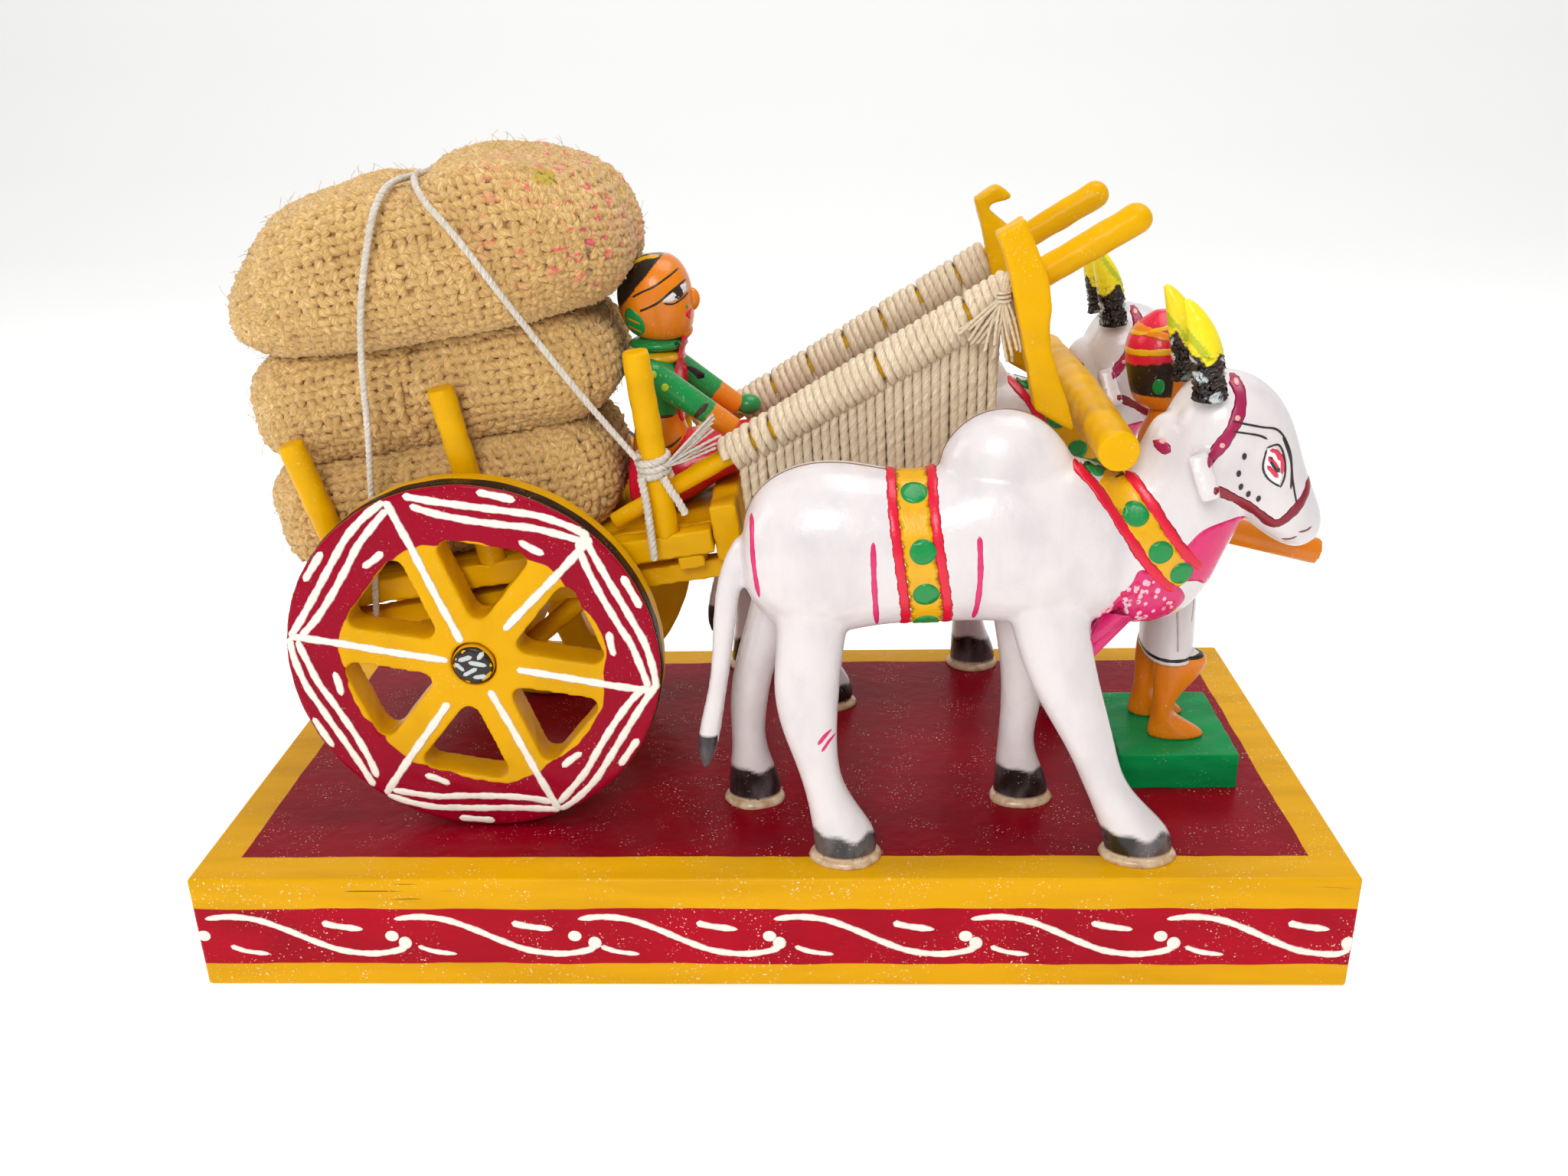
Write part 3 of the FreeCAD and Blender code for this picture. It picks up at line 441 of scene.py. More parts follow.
def plinth_regions(at: Sockets, base: Any) -> Any:
    """Crimson panel on top inside a yellow border, and a crimson band along the sides."""
    wander = at.times(at.calc("SUBTRACT", at.noise(16 * MM, 2), 0.5), 1.4 * MM)
    across = at.calc("SUBTRACT", 118.1 * MM, at.calc("ABSOLUTE", at.x))
    along = at.calc("SUBTRACT", 50.1 * MM, at.calc("ABSOLUTE", at.y))
    inside = at.calc("ADD", at.calc("MINIMUM", across, along), wander)
    panel = at.times(at.step(inside, -0.12 * MM, 0.12 * MM), at.step(at.z, 26.6 * MM, 26.9 * MM))
    high = at.calc("ADD", at.z, wander)
    band = at.times(at.step(high, 5.8 * MM, 6.05 * MM), at.step(high, 20.6 * MM, 20.35 * MM))
    stain = at.step(at.noise(26 * MM, 3), 0.4, 0.7)
    crimson = at.mix(stain, linear("#AC001E"), linear("#98001A"))
    crimson = at.mix(at.times(panel, 0.5), crimson, linear("#580010"))
    coloured = at.mix(at.calc("MAXIMUM", panel, band), base, crimson)
    cracks = at.times(at.step(at.noise(1.1 * MM, 1, (26, 1, 1)), 0.70, 0.735),
                     at.times(at.step(at.z, 22 * MM, 23.5 * MM), at.step(at.z, 27.2 * MM, 26.8 * MM)))
    return at.mix(at.times(cracks, 0.8), coloured, linear("#6B3F08"))


def wheel_regions(at: Sockets, base: Any) -> Any:
    """Yellow spokes and windows, a crimson rim with a wavy edge, and a tread half black, half yellow."""
    away = at.calc("SQRT", at.calc("ADD", at.calc("POWER", at.calc("SUBTRACT", at.x, HUB_X), 2),
        at.calc("POWER", at.calc("SUBTRACT", at.z, HUB_Z), 2)))
    wavy = at.calc("ADD", away, at.times(at.calc("SUBTRACT", at.noise(11 * MM, 2), 0.5), 6 * MM))
    face = at.step(at.calc("ABSOLUTE", at.y), 37.55 * MM, 37.7 * MM)
    rim = at.times(at.step(wavy, 28.6 * MM, 28.9 * MM), face)
    painted = at.mix(rim, base, linear("#980024"))
    tread = at.times(at.step(away, 40.6 * MM, 40.9 * MM), at.step(
        at.calc("ADD", at.calc("ABSOLUTE", at.y), at.times(wavy, 0.02)), 34.6 * MM, 34.9 * MM))
    tread = at.times(tread, at.calc("SUBTRACT", 1.0, face))
    return at.mix(tread, painted, linear("#2A1B14"))


def painted_regions(at: Sockets, base: Any) -> Any:
    """Colours that the piece carries in its own paint attribute."""
    return add_node(at.tree, "ShaderNodeAttribute", {"attribute_name": "paint"}).outputs["Color"]


@dataclass(frozen=True)
class Gloss:
    """Thick enamel from a pointed brush: raised, wet-looking, slightly uneven in tone."""

    name: str = "brushed oil enamel"
    roughness: float = 0.30

    def material(self) -> Material:
        """The finish, coloured by the piece's paint attribute."""
        made = bpy.data.materials.new(self.name)
        at = Sockets(made)
        tone = painted_regions(at, None)
        faded = at.mix(at.times(at.step(at.noise(2.2 * MM, 3), 0.35, 0.75), 0.22), tone, at.mix(
            0.5, tone, linear("#5A3038")))
        normal = at.bump(at.noise(0.6 * MM, 2), 0.12 * MM, 0.5)
        at.close(Base_Color=faded, Roughness=self.roughness, IOR=1.5, Normal=normal, Specular_IOR_Level=0.35,
                 Coat_Weight=0.12, Coat_Roughness=0.1)
        return made


@dataclass(frozen=True)
class Yarn:
    """Spun fibre: plies that show as slanting streaks, matt, with a faint sheen of loose hairs."""

    name: str
    colour: str
    shadow: str
    fibre: float = 0.18 * MM
    patch: float = 9 * MM
    sheen: float = 0.25
    flecks: bool = False

    def material(self) -> Material:
        """The finish; streaks follow the attributes that the cord tree stores."""
        made = bpy.data.materials.new(self.name)
        at = Sockets(made)
        along = add_node(at.tree, "ShaderNodeAttribute", {"attribute_name": "along"}).outputs["Fac"]
        around = add_node(at.tree, "ShaderNodeAttribute", {"attribute_name": "around"}).outputs["Fac"]
        lie = add_node(at.tree, "ShaderNodeCombineXYZ", inputs={
            0: at.times(along, 0.16), 1: at.times(around, 4 * MM),
            2: at.times(at.noise(20 * MM), 2 * MM)}).outputs[0]
        streak = add_node(at.tree, "ShaderNodeTexNoise", inputs={
            "Vector": lie, "Scale": 1 / self.fibre, "Detail": 2}).outputs["Fac"]
        blotch = at.step(at.noise(self.patch, 3), 0.3, 0.7)
        tone = at.mix(at.step(streak, 0.3, 0.75), linear(self.shadow), linear(self.colour))
        tone = at.mix(at.times(blotch, 0.35), tone, linear(self.shadow))
        if self.flecks:
            tone = self.dyed(at, tone)
        normal = at.bump(streak, 0.12 * MM, 0.7)
        at.close(Base_Color=tone, Roughness=0.86, IOR=1.5, Normal=normal, Sheen_Weight=self.sheen,
                 Sheen_Roughness=0.5)
        return made

    def dyed(self, at: Sockets, tone: Any) -> Any:
        """Splashes of pink dye on the top sack's front end, and a few gold threads."""
        spots = at.step(at.noise(2.2 * MM, 1, (1.6, 1, 0.8)), 0.61, 0.65)
        near_front = at.times(at.step(at.x, -64 * MM, -32 * MM), at.step(at.z, 143 * MM, 158 * MM))
        pink = at.times(at.times(spots, near_front), 0.85)
        tone = at.mix(pink, tone, linear("#E2395F"))
        for tuft in ((-42, -23, 171), (-46, -31.5, 143.5), (-56, -4, 177)):
            away = add_node(at.tree, "ShaderNodeVectorMath", {"operation": "DISTANCE"}, {
                0: at.place, 1: tuple(c * MM for c in tuft)}).outputs["Value"]
            ragged = at.calc("ADD", away, at.times(at.noise(1.2 * MM, 1), 3 * MM))
            tone = at.mix(at.times(at.step(ragged, 4.6 * MM, 3.6 * MM), 0.8), tone, linear("#B8A01E"))
        return tone


@dataclass(frozen=True)
class Matt:
    """A plain dull surface with a little mottling, such as dried glue and the darker cloth behind a weave, which
    is painted shade.
    """

    name: str
    colour: str
    other: str
    roughness: float
    span: float = 2 * MM
    coat: float = 0.0

    def material(self) -> Material:
        """The finish as a Blender material."""
        made = bpy.data.materials.new(self.name)
        at = Sockets(made)
        tone = at.mix(at.step(at.noise(self.span, 3), 0.3, 0.7), linear(self.colour), linear(self.other))
        at.close(Base_Color=tone, Roughness=self.roughness, IOR=1.5, Coat_Weight=self.coat,
                 Normal=at.bump(at.noise(self.span * 0.6, 3), 0.3 * MM, 0.5))
        return made


class Finish(Enum):
    """Every finish on the toy, from what the real one is."""

    PLINTH = Enamel("enamelled softwood plinth", "#DCA204", "#4A1206", dust_and_glint=0.75, regions=plinth_regions)
    WHEEL = Enamel("enamelled wooden wheel", "#E0A605", "#4A1808", regions=wheel_regions, grain_way=(2, 1, 4))
    CART = Enamel("yellow enamelled cart wood", "#E2A902", "#7A4804", grain_way=(6, 1, 1.5))
    AXLE = Enamel("yellow enamelled axle", "#DDA204", "#7A4804")
    BLOCK = Enamel("green enamelled block", "#07904A", "#06532C", wear=0.4)
    FIGURE = Enamel("painted wooden figure", Paint.WHITE, "#6A4A40", roughness=0.3, coat=0.2, specular=0.3,
                    regions=painted_regions, grain_way=(1, 1, 3))
    OX = Enamel("white enamelled ox", Paint.WHITE, "#B4A8B0", roughness=0.27, coat=0.3, specular=0.3, wear=0.3,
                streak_depth=0.06 * MM, regions=painted_regions, grain_way=(1, 1, 2))
    BRUSHWORK = Gloss()
    JUTE = Yarn("jute hessian yarn", "#F2CC8A", "#B88E4C", flecks=True)
    CORD = Yarn("twisted cotton cord", "#F0E2C8", "#CDB696", fibre=0.2 * MM, sheen=0.15)
    STRING = Yarn("white cotton string", "#EFE9E0", "#B9AC9B", fibre=0.15 * MM, sheen=0.15)
    LINING = Matt("hessian shadow cloth", "#C9A05C", "#B48A4A", 0.95)
    GLUE = Matt("dried carpenter's glue", "#D9C0A0", "#B7936A", 0.35, coat=0.4)


MATERIALS: dict[Finish, Material] = {}


def material_of(finish: Finish) -> Material:
    """The material of a finish, made the first time that it is asked for."""
    if finish not in MATERIALS:
        MATERIALS[finish] = finish.value.material()
    return MATERIALS[finish]


def finish_piece(piece: Piece, slot: Slot, finish: Finish | None = None, stands_for: Iterable[str] = (),
                 body: str = CART) -> Piece:
    """Dresses a piece, sets it on its body and names the CAD nodes that it stands for."""
    if finish is not None:
        piece.data.materials.clear()
        piece.data.materials.append(material_of(finish))
    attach(piece, body)
    for node in stands_for:
        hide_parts(node)
    LOG.info("%s on %s: %d faces", piece.name, body, len(piece.data.polygons))
    return piece


# --- Brushwork ---

@dataclass
class Brush:
    """Strokes and filled shapes of thick enamel laid on the surface of one piece.

    Each mark is a thin closed skin that starts just under the surface and stands a little proud.
    """

    name: str
    body: str
    canvas: Sequence[Piece]
    thickness: float = 0.13 * MM
    reach: float = 9 * MM
    step: float = 0.55 * MM
    slack: float = 3.4 * MM
    verts: list[Vector] = field(default_factory=list)
    faces: list[tuple[int, ...]] = field(default_factory=list)
    tones: list[tuple[float, ...]] = field(default_factory=list)

    SECTION = ((-1.0, 0.05), (-0.62, 0.75), (0.0, 1.0), (0.62, 0.75), (1.0, 0.05))

    def __post_init__(self) -> None:
        """Readies the surface for the brush."""
        self.surface = tree_of(self.canvas)
        self.hand = Random(len(self.name) * 7 + 3)

    def land(self, point: Vector, toward: Vector, beside: Vector | None = None,
             slack: float = 0.0) -> tuple[Vector, Vector] | None:
        """Where a brush that moves towards the surface meets it, and which way it faces there.

        Args:
            point: a place near the surface.
            toward: the way the brush moves.
            beside: a place that the landing has to be near; the nearest surface to it is used otherwise.
            slack: how near that is.
        """
        spot, normal, _, _ = self.surface.ray_cast(point - toward * self.reach, toward, self.reach * 2)
        if beside is not None and (spot is None or (spot - beside).length > slack):
            spot, normal, _, _ = self.surface.find_nearest(point - toward * (point - beside).dot(toward))
            if (spot - beside).length > slack:
                spot = beside
        if spot is None:
            return None
        return spot, -normal if normal.dot(toward) > 0 else normal

    def add(self, point: Vector, tone: Sequence[float]) -> int:
        """Adds one point and its colour."""
        self.verts.append(point)
        self.tones.append(tuple(tone))
        return len(self.verts) - 1

    def stroke(self, points: Sequence[Vector], paint: Paint | str, width: float,
               toward: Vector | Callable[[Vector], Vector], ends: tuple[float, float] = (0.8, 0.6),
               closed: bool = False) -> None:
        """One pull of the brush.

        Args:
            points: what the stroke goes through, near the surface.
            paint: its colour.
            width: its full width.
            toward: the way the brush points, or a function of the place that gives it.
            ends: length of the rounded start and end, in widths.
            closed: whether it joins its own start, as a band round a body does.
        """
        pulls: list[list[tuple[Vector, Vector, Vector]]] = [[]]
        for point in smooth_line(points, self.step, closed):
            aim = toward(point) if callable(toward) else toward
            met = self.land(point, aim)
            if pulls[-1] and (met is None or (met[0] - pulls[-1][-1][2]).length > self.slack):
                pulls.append([])
            if met is not None:
                pulls[-1].append((point, aim, met[0]))
        for pull in pulls:
            if len(pull) > 3:
                self.skin_of(pull, linear(paint), width, ends, closed and len(pulls) == 1)

    def skin_of(self, pull: Sequence[tuple[Vector, Vector, Vector]], tone: Sequence[float], width: float,
                ends: tuple[float, float], closed: bool) -> None:
        """The skin of one unbroken pull, from its places, brush directions and landings."""
        count = len(pull)
        phase = self.hand.uniform(0, 6.28)
        rings: list[list[int]] = []
        for i, (point, aim, middle) in enumerate(pull):
            ahead = pull[(i + 1) % count][0] if closed else pull[min(i + 1, count - 1)][0]
            behind = pull[i - 1][0] if closed else pull[max(i - 1, 0)][0]
            side = (ahead - behind).cross(aim).normalized()
            run_in = i * self.step / max(ends[0] * width, 1e-6)
            run_out = (count - 1 - i) * self.step / max(ends[1] * width, 1e-6)
            full = 1.0
            if not closed:
                full = sqrt(max(0.02, 1 - (1 - min(run_in, 1)) ** 2)) * sqrt(
                    max(0.02, 1 - (1 - min(run_out, 1)) ** 2))
            half = 0.5 * width * full * (1 + 0.09 * sin(i * 0.55 + phase) + 0.05 * sin(i * 1.7))
            lift = self.thickness * min(1.0, 0.35 + full * 0.65)
            ring = []
            for across, height in self.SECTION:
                spot, normal = self.land(point + side * (across * half), aim, middle, self.slack + half)
                ring.append(self.add(spot + normal * (height * lift), tone))
            spot, normal = self.land(point, aim, middle, self.slack)
            ring.append(self.add(spot - normal * 0.12 * MM, tone))
            rings.append(ring)
        self.faces += bridged(rings, closed)

    def patch(self, outline: Sequence[Vector], paint: Paint | str, toward: Vector, grain: float = 0.9 * MM,
              lift: float = 1.0) -> None:
        """A filled shape inside a smooth outline.

        Args:
            outline: points round its edge, near the surface.
            paint: its colour.
            toward: the way the brush points.
            grain: spacing of the points inside it.
            lift: how thick it is, in strokes of the brush.
        """
        aim = toward.normalized()
        right = aim.orthogonal().normalized()
        up = aim.cross(right)
        rim = smooth_line(outline, min(grain, 0.6 * MM), True)
        flat = [Vector((p.dot(right), p.dot(up))) for p in rim]
        depth = sum(p.dot(aim) for p in rim) / len(rim)
        low = [min(p[k] for p in flat) for k in range(2)]
        high = [max(p[k] for p in flat) for k in range(2)]
        inner = []
        for i in range(int((high[0] - low[0]) / grain)):
            for j in range(int((high[1] - low[1]) / grain)):
                spot = Vector((low[0] + (i + 0.5 + 0.25 * (j % 2)) * grain, low[1] + (j + 0.5) * grain))
                if min((spot - p).length for p in flat) > 0.45 * grain:
                    inner.append(spot)
        edges = [(k, (k + 1) % len(flat)) for k in range(len(flat))]
        spots, _, faces, _, _, _ = delaunay_2d_cdt(flat + inner, edges, [], 1, 1e-8)
        tone = linear(paint)
        rim_count: dict[tuple[int, int], int] = {}
        for face in faces:
            for a, b in zip(face, face[1:] + face[:1]):
                rim_count[(a, b)] = 1
        border = [(a, b) for a, b in rim_count if (b, a) not in rim_count]
        at_edge = {k for pair in border for k in pair}
        top, under = [], []
        places = [right * spot[0] + up * spot[1] + aim * depth for spot in spots]
        met = [self.land(place, aim) for place in places]
        depths = sorted(m[0].dot(aim) for m in met if m is not None)
        if not depths:
            LOG.warning("%s: a patch misses its surface", self.name)
            return
        usual = depths[len(depths) // 2]
        for k, (place, seen) in enumerate(zip(places, met)):
            if seen is None or abs(seen[0].dot(aim) - usual) > 10 * MM:
                landed, normal, _, _ = self.surface.find_nearest(place + aim * (usual - depth))
            else:
                landed, normal = seen
            height = 0.1 if k in at_edge and lift <= 1 else 1.0
            top.append(self.add(landed + normal * self.thickness * height * lift, tone))
            under.append(self.add(landed - normal * 0.12 * MM, tone))
        flip = right.cross(up).dot(aim) > 0
        for face in faces:
            over = tuple(top[k] for k in face)
            below = tuple(under[k] for k in reversed(face))
            self.faces.append(tuple(reversed(over)) if flip else over)
            self.faces.append(tuple(reversed(below)) if flip else below)
        for a, b in border:
            wall = (top[a], under[a], under[b], top[b])
            self.faces.append(tuple(reversed(wall)) if flip else wall)

    def dot(self, centre: Vector, radius: float, paint: Paint | str, toward: Vector,
            stretch: float = 1.0, turn: float = 0.0, lift: float = 1.2) -> None:
        """A round or oval blob."""
        aim = toward.normalized()
        right = Z_AXIS.cross(aim).normalized() if abs(aim.z) < 0.9 else X_AXIS.copy()
        up = aim.cross(right)
        rim = []
        for angle in angles(10):
            a, b = radius * cos(angle), radius * stretch * sin(angle)
            wobble = 1 + 0.02 * self.hand.uniform(-1, 1)
            rim.append(centre + (right * (a * cos(turn) - b * sin(turn))
                                 + up * (a * sin(turn) + b * cos(turn))) * wobble)
        self.patch(rim, paint, toward, min(0.9 * MM, radius * 0.45), lift)

    def done(self, slot: Slot = Slot.BRUSHWORK) -> Piece:
        """The strokes as one piece on its body."""
        piece = mesh_object(self.name, self.verts, self.faces)
        tint_points(piece, self.tones)
        turned_out(piece.data)
        return finish_piece(piece, slot, Finish.BRUSHWORK, body=self.body)


# --- Cords ---

def cord_tree(finish: Finish) -> NodeTree:
    """Geometry Nodes that turn lines into twisted cord.

    Args:
        finish: what the cord is spun from.
    Returns:
        A tree with inputs Thickness, Twist Pitch, Step, Plies, Ply Depth and Sides.
    """
    name = f"twisted cord, {finish.name.lower()}"
    if name in bpy.data.node_groups:
        return bpy.data.node_groups[name]
    tree = new_group(name, {"Thickness": "Float", "Twist Pitch": "Float", "Step": "Float", "Plies": "Float",
                            "Ply Depth": "Float", "Sides": "Int"})
    given = add_node(tree, "NodeGroupInput").outputs
    lines = add_node(tree, "GeometryNodeResampleCurve", {"mode": "LENGTH"}, {
        "Curve": given["Geometry"], "Length": given["Step"]}).outputs[0]
    run = add_node(tree, "GeometryNodeSplineParameter").outputs["Length"]
    turns = calc(tree, "DIVIDE", run, given["Twist Pitch"])
    lines = geometry_node(tree, "SetCurveTilt", {"Curve": lines, "Tilt": calc(tree, "MULTIPLY", turns, 2 * pi)})
    held = add_node(tree, "GeometryNodeCaptureAttribute", inputs={"Geometry": lines})
    held.capture_items.new("FLOAT", "along")
    tree.links.new(run, held.inputs[1])
    circle = geometry_node(tree, "CurvePrimitiveCircle", {
        "Resolution": given["Sides"], "Radius": calc(tree, "MULTIPLY", given["Thickness"], 0.5)})
    factor = add_node(tree, "GeometryNodeSplineParameter").outputs["Factor"]
    lobes = calc(tree, "MULTIPLY", calc(tree, "MULTIPLY", factor, 2 * pi), given["Plies"])
    swell = calc(tree, "MULTIPLY_ADD", calc(tree, "COSINE", lobes), given["Ply Depth"], 1.0)
    spot = add_node(tree, "GeometryNodeInputPosition").outputs[0]
    moved = add_node(tree, "ShaderNodeVectorMath", {"operation": "SCALE"}, {0: spot, "Scale": swell})
    profile = geometry_node(tree, "SetPosition", {"Geometry": circle, "Position": moved.outputs[0]})
    seen = add_node(tree, "GeometryNodeCaptureAttribute", inputs={"Geometry": profile})
    seen.capture_items.new("FLOAT", "around")
    tree.links.new(factor, seen.inputs[1])
    tube = geometry_node(tree, "CurveToMesh", {
        "Curve": held.outputs[0], "Profile Curve": seen.outputs[0], "Fill Caps": True})
    for label, node in (("along", held), ("around", seen)):
        tube = add_node(tree, "GeometryNodeStoreNamedAttribute", {"data_type": "FLOAT", "domain": "POINT"}, {
            "Geometry": tube, "Name": label, "Value": node.outputs[1]}).outputs[0]
    tube = geometry_node(tree, "SetShadeSmooth", {"Geometry": tube})
    tube = geometry_node(tree, "RealizeInstances", {"Geometry": tube})
    tube = geometry_node(tree, "SetMaterial", {"Geometry": tube, "Material": material_of(finish)})
    add_node(tree, "NodeGroupOutput", inputs={0: tube})
    return tree


@dataclass
class Cordage:
    """Lines of one kind of cord, spun into one piece."""

    name: str
    finish: Finish
    thickness: float
    pitch: float
    step: float
    plies: float = 3
    depth: float = 0.14
    sides: int = 12
    lines: list[tuple[list[Vector], bool]] = field(default_factory=list)

    def lay(self, points: Sequence[Vector], closed: bool = False) -> None:
        """Adds one line of cord through these points."""
        self.lines.append(([Vector(p) for p in points], closed))

    def spun(self, order: int = 3) -> Piece:
        """The cord as plain mesh, its lines smoothed as NURBS of that order."""
        curve = bpy.data.curves.new(self.name, "CURVE")
        curve.dimensions = "3D"
        for points, closed in self.lines:
            spline = curve.splines.new("NURBS")
            spline.points.add(len(points) - 1)
            for spot, point in zip(spline.points, points):
                spot.co = (*point, 1)
            spline.order_u = min(order, len(points))
            spline.use_endpoint_u = not closed
            spline.use_cyclic_u = closed
            spline.resolution_u = 6
        return run_group(linked(self.name, curve), cord_tree(self.finish), {
            "Thickness": self.thickness, "Twist Pitch": self.pitch, "Step": self.step,
            "Plies": float(self.plies), "Ply Depth": self.depth, "Sides": self.sides})


# --- Plinth, wheels and cart ---

@dataclass
class Plinth:
    """The painted board that everything stands on."""

    half_length: float = 127 * MM
    half_depth: float = 59 * MM
    curl_pitch: float = 42.4 * MM
    curl_middle: float = 13.2 * MM

    def build(self) -> None:
        """Dresses the board and brushes the cream curls round its sides."""
        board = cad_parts["plinth"]
        board.data.materials.clear()
        board.data.materials.append(material_of(Finish.PLINTH))
        brush = Brush("plinth_curls", CART, [board], thickness=0.16 * MM)
        for side in (-1, 1):
            self.band(brush, Vector((-side, 0, 0)), Vector((0, -side, 0)), self.half_length, self.half_depth)
        for side in (-1, 1):
            self.band(brush, Vector((0, side, 0)), Vector((-side, 0, 0)), self.half_depth, self.half_length)
        brush.done()

    def band(self, brush: Brush, run: Vector, toward: Vector, half: float, reach: float) -> None:
        """Curls, dabs and dots along one side.

        Args:
            brush: what paints them.
            run: the way the band is painted.
            toward: from outside to the side's face.
            half: half the side's length.
            reach: how far the face is from the middle.
        """
        count = round(2 * half / self.curl_pitch)
        pitch = 2 * half / count
        hand = Random(int(half * 1e5))

        def at(along: float, high: float) -> Vector:
            """A place on the face."""
            edge = half - 1.2 * MM
            return run * max(-edge, min(edge, along)) - toward * reach + Z_AXIS * (self.curl_middle + high)

        for k in range(count):
            start = -half + k * pitch + hand.uniform(-1, 1) * MM
            shape = [(1.5, 4.6), (7, 5.2), (13, 4.4), (19, 1.9), (25, -1.2), (31, -3.7), (38, -4.6), (44, -3.6),
                     (45.6, -2.1)]
            points = [at(start + x * MM, z * MM) for x, z in shape]
            brush.stroke(points, Paint.CREAM, 1.65 * MM, toward, ends=(2.4, 0.5))
            brush.dot(at(start + 45.6 * MM, -1.6 * MM), 1.45 * MM, Paint.CREAM, toward, 1.1)
            brush.dot(at(start + 0.5 * MM, 0.2 * MM), 1.5 * MM, Paint.CREAM, toward, 0.9)
            brush.stroke([at(start + 27.5 * MM, 3.6 * MM), at(start + 31 * MM, 2.7 * MM),
                          at(start + 36.5 * MM, 1.9 * MM)], Paint.CREAM, 1.7 * MM, toward, ends=(0.5, 2.0))
            brush.stroke([at(start + 6 * MM, -2.6 * MM), at(start + 9.5 * MM, -4.0 * MM),
                          at(start + 14.5 * MM, -4.7 * MM)], Paint.CREAM, 1.3 * MM, toward, ends=(0.5, 2.0))


@dataclass
class Wheel:
    """One painted wheel that turns on the axle's peg."""

    side_name: str
    side: int
    face: float = 38 * MM
    spokes: Marks = ((46, 11), (111, 5.5), (170, 5.5), (234, 11.5), (293, 7), (350, 9.5))

    def build(self) -> None:
        """Softens and dresses the wheel, then paints its outer face."""
        body = f"wheel_{self.side_name}"
        disc = whittled(f"{body}_disc", [body], 0.62 * MM, 2, 0.10 * MM)
        finish_piece(disc, Slot.WHEEL, Finish.WHEEL, [body], body)
        brush = Brush(f"{body}_strokes", body, [disc], thickness=0.2 * MM, reach=3 * MM)
        for number, (angle, begin) in enumerate(self.spokes):
            self.line(brush, angle, begin)
            self.bracket(brush, angle, number)
        brush.done()

    def at(self, away: float, degrees: float) -> Vector:
        """A place on the outer face, by distance in mm and angle from the centre."""
        turn = radians(degrees)
        return Vector((HUB_X + away * MM * cos(turn), self.side * self.face, HUB_Z + away * MM * sin(turn)))

    def line(self, brush: Brush, angle: float, begin: float) -> None:
        """The cream line that runs out along a spoke to the rim."""
        toward = Vector((0, -self.side, 0))
        points = [self.at(r, angle + bend) for r, bend in ((begin, 0.8), (18, 0.4), (30, -0.2), (40.6, 0))]
        brush.stroke(points, Paint.CREAM, 1.9 * MM, toward, ends=(0.6, 0.4))

    def bracket(self, brush: Brush, angle: float, number: int) -> None:
        """Two strokes side by side from one line's end to the next, with a dab outside and one inside."""
        toward = Vector((0, -self.side, 0))
        marks = (
            ((40.6, 0.5), (39.6, 8), (38.4, 17), (37.2, 25), (36.6, 34), (36.8, 42), (38, 51), (40.4, 59.5)),
            ((38.8, 1), (37, 8), (35.4, 17), (34, 25), (33.4, 34), (33.7, 42), (35.2, 51), (38, 58.5)),
            ((39.9, 27), (39.7, 33), (39.9, 39)), ((31.3, 11), (31, 16), (31.4, 22)))
        drift = (number % 3 - 1) * 2
        for mark in marks:
            shift = drift if len(mark) == 3 else 0
            brush.stroke([self.at(r, angle + a + shift) for r, a in mark], Paint.CREAM, 1.75 * MM, toward)


@dataclass
class Woodwork:
    """The yellow timbers of the cart."""

    timbers: tuple[str, ...] = (
        "axle_bolster", "strut_near", "strut_far", "long_beam_near", "long_beam_far", "cross_bars",
        "floor_planks", "side_plank_near", "side_plank_far", "front_board", "stakes_near", "stakes_far",
        "shaft_near", "shaft_far", "post_near", "post_far", "yoke")
    peg_start: float = 27 * MM
    peg_fit: float = 0.94

    def build(self) -> None:
        """Softens each timber's arrises as a knife and thick paint leave them."""
        for node in self.timbers:
            piece = whittled(f"{node}_wood", [node], 0.55 * MM, 2, 0.14 * MM)
            finish_piece(piece, Slot.CART, Finish.CART, [node])
        axle = whittled("axle_wood", ["axle"], 0.5 * MM, 1)
        for vertex in axle.data.vertices:
            if abs(vertex.co.y) > self.peg_start:
                vertex.co.x = HUB_X + (vertex.co.x - HUB_X) * self.peg_fit
                vertex.co.z = HUB_Z + (vertex.co.z - HUB_Z) * self.peg_fit
        finish_piece(axle, Slot.AXLE, Finish.AXLE, ["axle"])
        brush = Brush("axle_peg_ends", CART, [axle], thickness=0.1 * MM, reach=2.5 * MM)
        for _, side in SIDES:
            toward = Vector((0, -side, 0))
            hub = Vector((HUB_X, side * 39 * MM, HUB_Z))
            brush.thickness = 0.1 * MM
            brush.dot(hub, 4.45 * MM, Paint.BLACK, toward)
            brush.thickness = 0.28 * MM
            # The silver strokes on the black peg ends are painted highlights.
            for x, z, long, turn in ((-1.4, 1.8, 1.7, 0.3), (1.2, 0.5, 2.1, -0.2), (-0.6, -1.4, 1.9, 0.5),
                                     (2.0, 2.4, 1.2, 0.9), (-2.8, -0.2, 1.4, -0.8), (1.4, -2.6, 1.6, 0.1)):
                spot = hub + Vector((x * MM, 0, z * MM))
                slant = Vector((cos(turn), 0, sin(turn))) * long * MM
                brush.stroke([spot - slant, spot + slant * 0.2, spot + slant], Paint.SILVER, 1.3 * MM, toward)
        brush.done()


